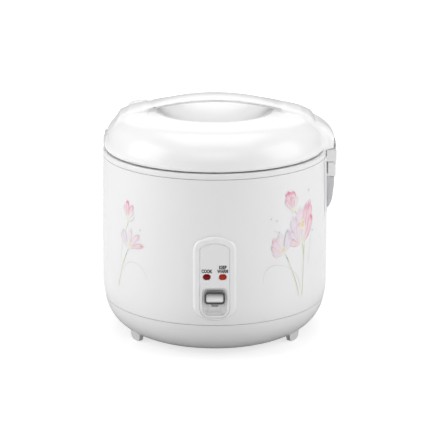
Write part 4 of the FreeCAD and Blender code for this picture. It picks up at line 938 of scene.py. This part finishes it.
def lamp_word(name, text, girth, level):
    """A small plain word over a lamp, laid on the panel's face."""
    curve = bpy.data.curves.new(name, "FONT")
    curve.body = text
    curve.size = WORD_SIZE
    curve.align_x = "CENTER"
    curve.offset = WORD_BOLD
    drawn = bpy.data.objects.new(name + "_drawn", curve)
    bpy.context.scene.collection.objects.link(drawn)
    bpy.context.view_layer.update()
    mesh = bpy.data.meshes.new_from_object(drawn.evaluated_get(bpy.context.evaluated_depsgraph_get()))
    bpy.data.objects.remove(drawn)
    for vertex in mesh.vertices:
        x = girth + vertex.co.x * WORD_SQUEEZE
        z = level + vertex.co.y
        radius = float(wall_at(np.float64(z))) + FACE_STAND + WORD_LIFT
        vertex.co = Vector((x * MM + AXIS_X, -math.sqrt(radius * radius - x * x) * MM, z * MM))
    thing = bpy.data.objects.new(name, mesh)
    bpy.context.scene.collection.objects.link(thing)
    thing.data.materials.append(word_ink())
    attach(thing, "base")


@cache
def word_ink():
    return plastic("word_dark", (0.02, 0.015, 0.015), 0.35, FINE)


# ---------------------------------------------------------------- camera, light and floor

CAMERA_BACK, CAMERA_UP, CAMERA_DIP = -1.96, 0.69275, 16.22
CAMERA_LENS, CAMERA_SHIFT = 150.0, 0.0119
WORLD_LIGHT = 0.2
BASE_AIM, LID_AIM = (0, 0, 0.13), (0, 0, 0.2)
# name, place, aim, size and power
LIGHTS = (
    ("left", (-1.5, -0.35, 0.75), BASE_AIM, (1.2, 1.3), 13.3),
    ("right", (1.5, -0.35, 0.75), BASE_AIM, (1.2, 1.3), 11.7),
    ("top", (0, 0.1, 1.7), LID_AIM, (1.4, 1.4), 12.5),
    ("front", (0, -1.9, 1.5), BASE_AIM, (1.6, 0.9), 8.5),
    ("back", (0, 1.6, 1.1), LID_AIM, (1.6, 0.9), 4.5),
)
FLOOR_REACH = 6.0
# distances from the middle, and the floor's value at each
FLOOR_BOUNCE = (0.12, 0.24, 0.52, 0.95)
FLOOR_GLOW = (0.3, 1.1, 0.72, 1.0)


def camera():
    data = bpy.data.cameras.new("camera")
    view = bpy.data.objects.new("camera", data)
    data.lens = CAMERA_LENS
    data.sensor_width = 36.0
    data.shift_x = CAMERA_SHIFT
    view.location = (AXIS_X, CAMERA_BACK, CAMERA_UP)
    view.rotation_euler = (math.radians(90 - CAMERA_DIP), 0, 0)
    bpy.context.scene.collection.objects.link(view)
    bpy.context.scene.camera = view


def soft_light(name, place, aim, size, power):
    """A broad lamp at place that faces aim."""
    data = bpy.data.lights.new(name, "AREA")
    data.shape = "RECTANGLE"
    data.size, data.size_y = size
    data.energy = power
    lamp = bpy.data.objects.new(name, data)
    lamp.location = place
    lamp.rotation_euler = (Vector(aim) - Vector(place)).to_track_quat("-Z", "Y").to_euler()
    bpy.context.scene.collection.objects.link(lamp)


def world():
    """Plain light all round, and a white background for the camera."""
    scene = bpy.context.scene
    scene.world = bpy.data.worlds.new("studio")
    scene.world.use_nodes = True
    tree = scene.world.node_tree
    plain = tree.nodes["Background"]
    plain.inputs["Color"].default_value = (1, 1, 1, 1)
    plain.inputs["Strength"].default_value = WORLD_LIGHT
    seen = tree.nodes.new("ShaderNodeBackground")
    seen.inputs["Color"].default_value = (1, 1, 1, 1)
    seen.inputs["Strength"].default_value = 1.0
    paths = tree.nodes.new("ShaderNodeLightPath")
    most = tree.nodes.new("ShaderNodeMath")
    most.operation = "MAXIMUM"
    tree.links.new(paths.outputs["Is Camera Ray"], most.inputs[0])
    tree.links.new(paths.outputs["Is Transmission Ray"], most.inputs[1])
    mix = tree.nodes.new("ShaderNodeMixShader")
    tree.links.new(most.outputs[0], mix.inputs["Fac"])
    tree.links.new(plain.outputs[0], mix.inputs[1])
    tree.links.new(seen.outputs[0], mix.inputs[2])
    tree.links.new(mix.outputs[0], tree.nodes["World Output"].inputs["Surface"])
    scene.view_settings.view_transform = "Standard"


def smooth_range(make, away, start, end, low, high):
    """A value that runs smoothly from low to high between two distances."""
    ranged = make.add("MapRange", interpolation_type="SMOOTHSTEP",
                      **{"From Min": start, "From Max": end, "To Min": low, "To Max": high})
    make.link(away, ranged.inputs["Value"], "Value")
    return ranged


def floor():
    """White ground: it glows towards its edge for the camera, and bounces less light near the object."""
    mesh = bpy.data.meshes.new("floor")
    corners = [(x * FLOOR_REACH, y * FLOOR_REACH, 0) for x, y in ((-1, -1), (1, -1), (1, 1), (-1, 1))]
    mesh.from_pydata(corners, [], [(0, 1, 2, 3)])
    plane = bpy.data.objects.new("floor", mesh)
    bpy.context.scene.collection.objects.link(plane)
    make = Nodes("floor")
    make.shader.inputs["Roughness"].default_value = 0.9
    make.shader.inputs["Specular IOR Level"].default_value = 0.0
    seen = make.add("BsdfDiffuse")
    seen.inputs["Color"].default_value = (0.4, 0.4, 0.4, 1)
    away = make.add("VectorMath", operation="LENGTH")
    make.link(make.add("TexCoord"), away.inputs[0], "Object")
    make.link(smooth_range(make, away, *FLOOR_BOUNCE), make.shader.inputs["Base Color"])
    glow = make.add("Emission")
    make.link(smooth_range(make, away, *FLOOR_GLOW), glow.inputs["Strength"])
    both = make.add("AddShader")
    make.link(seen, both.inputs[0])
    make.link(glow, both.inputs[1])
    paths = make.add("LightPath")
    most = make.add("Math", operation="MAXIMUM")
    make.link(paths, most.inputs[0], "Is Camera Ray")
    make.link(paths, most.inputs[1], "Is Transmission Ray")
    mix = make.add("MixShader")
    make.link(most, mix.inputs["Fac"])
    make.link(make.shader, mix.inputs[1])
    make.link(both, mix.inputs[2])
    make.link(mix, make.tree.nodes["Material Output"].inputs["Surface"])
    mesh.materials.append(make.material)


camera()
world()
floor()
lid()
panel()
knob()
latch()
right_flowers()
left_flowers()
lamp_word("word_cook", "COOK", -LAMP_AT, WORD_LEVEL)
lamp_word("word_keep", "KEEP", LAMP_AT, WORD_ABOVE)
lamp_word("word_warm", "WARM", LAMP_AT, WORD_LEVEL)
for light in LIGHTS:
    soft_light(*light)
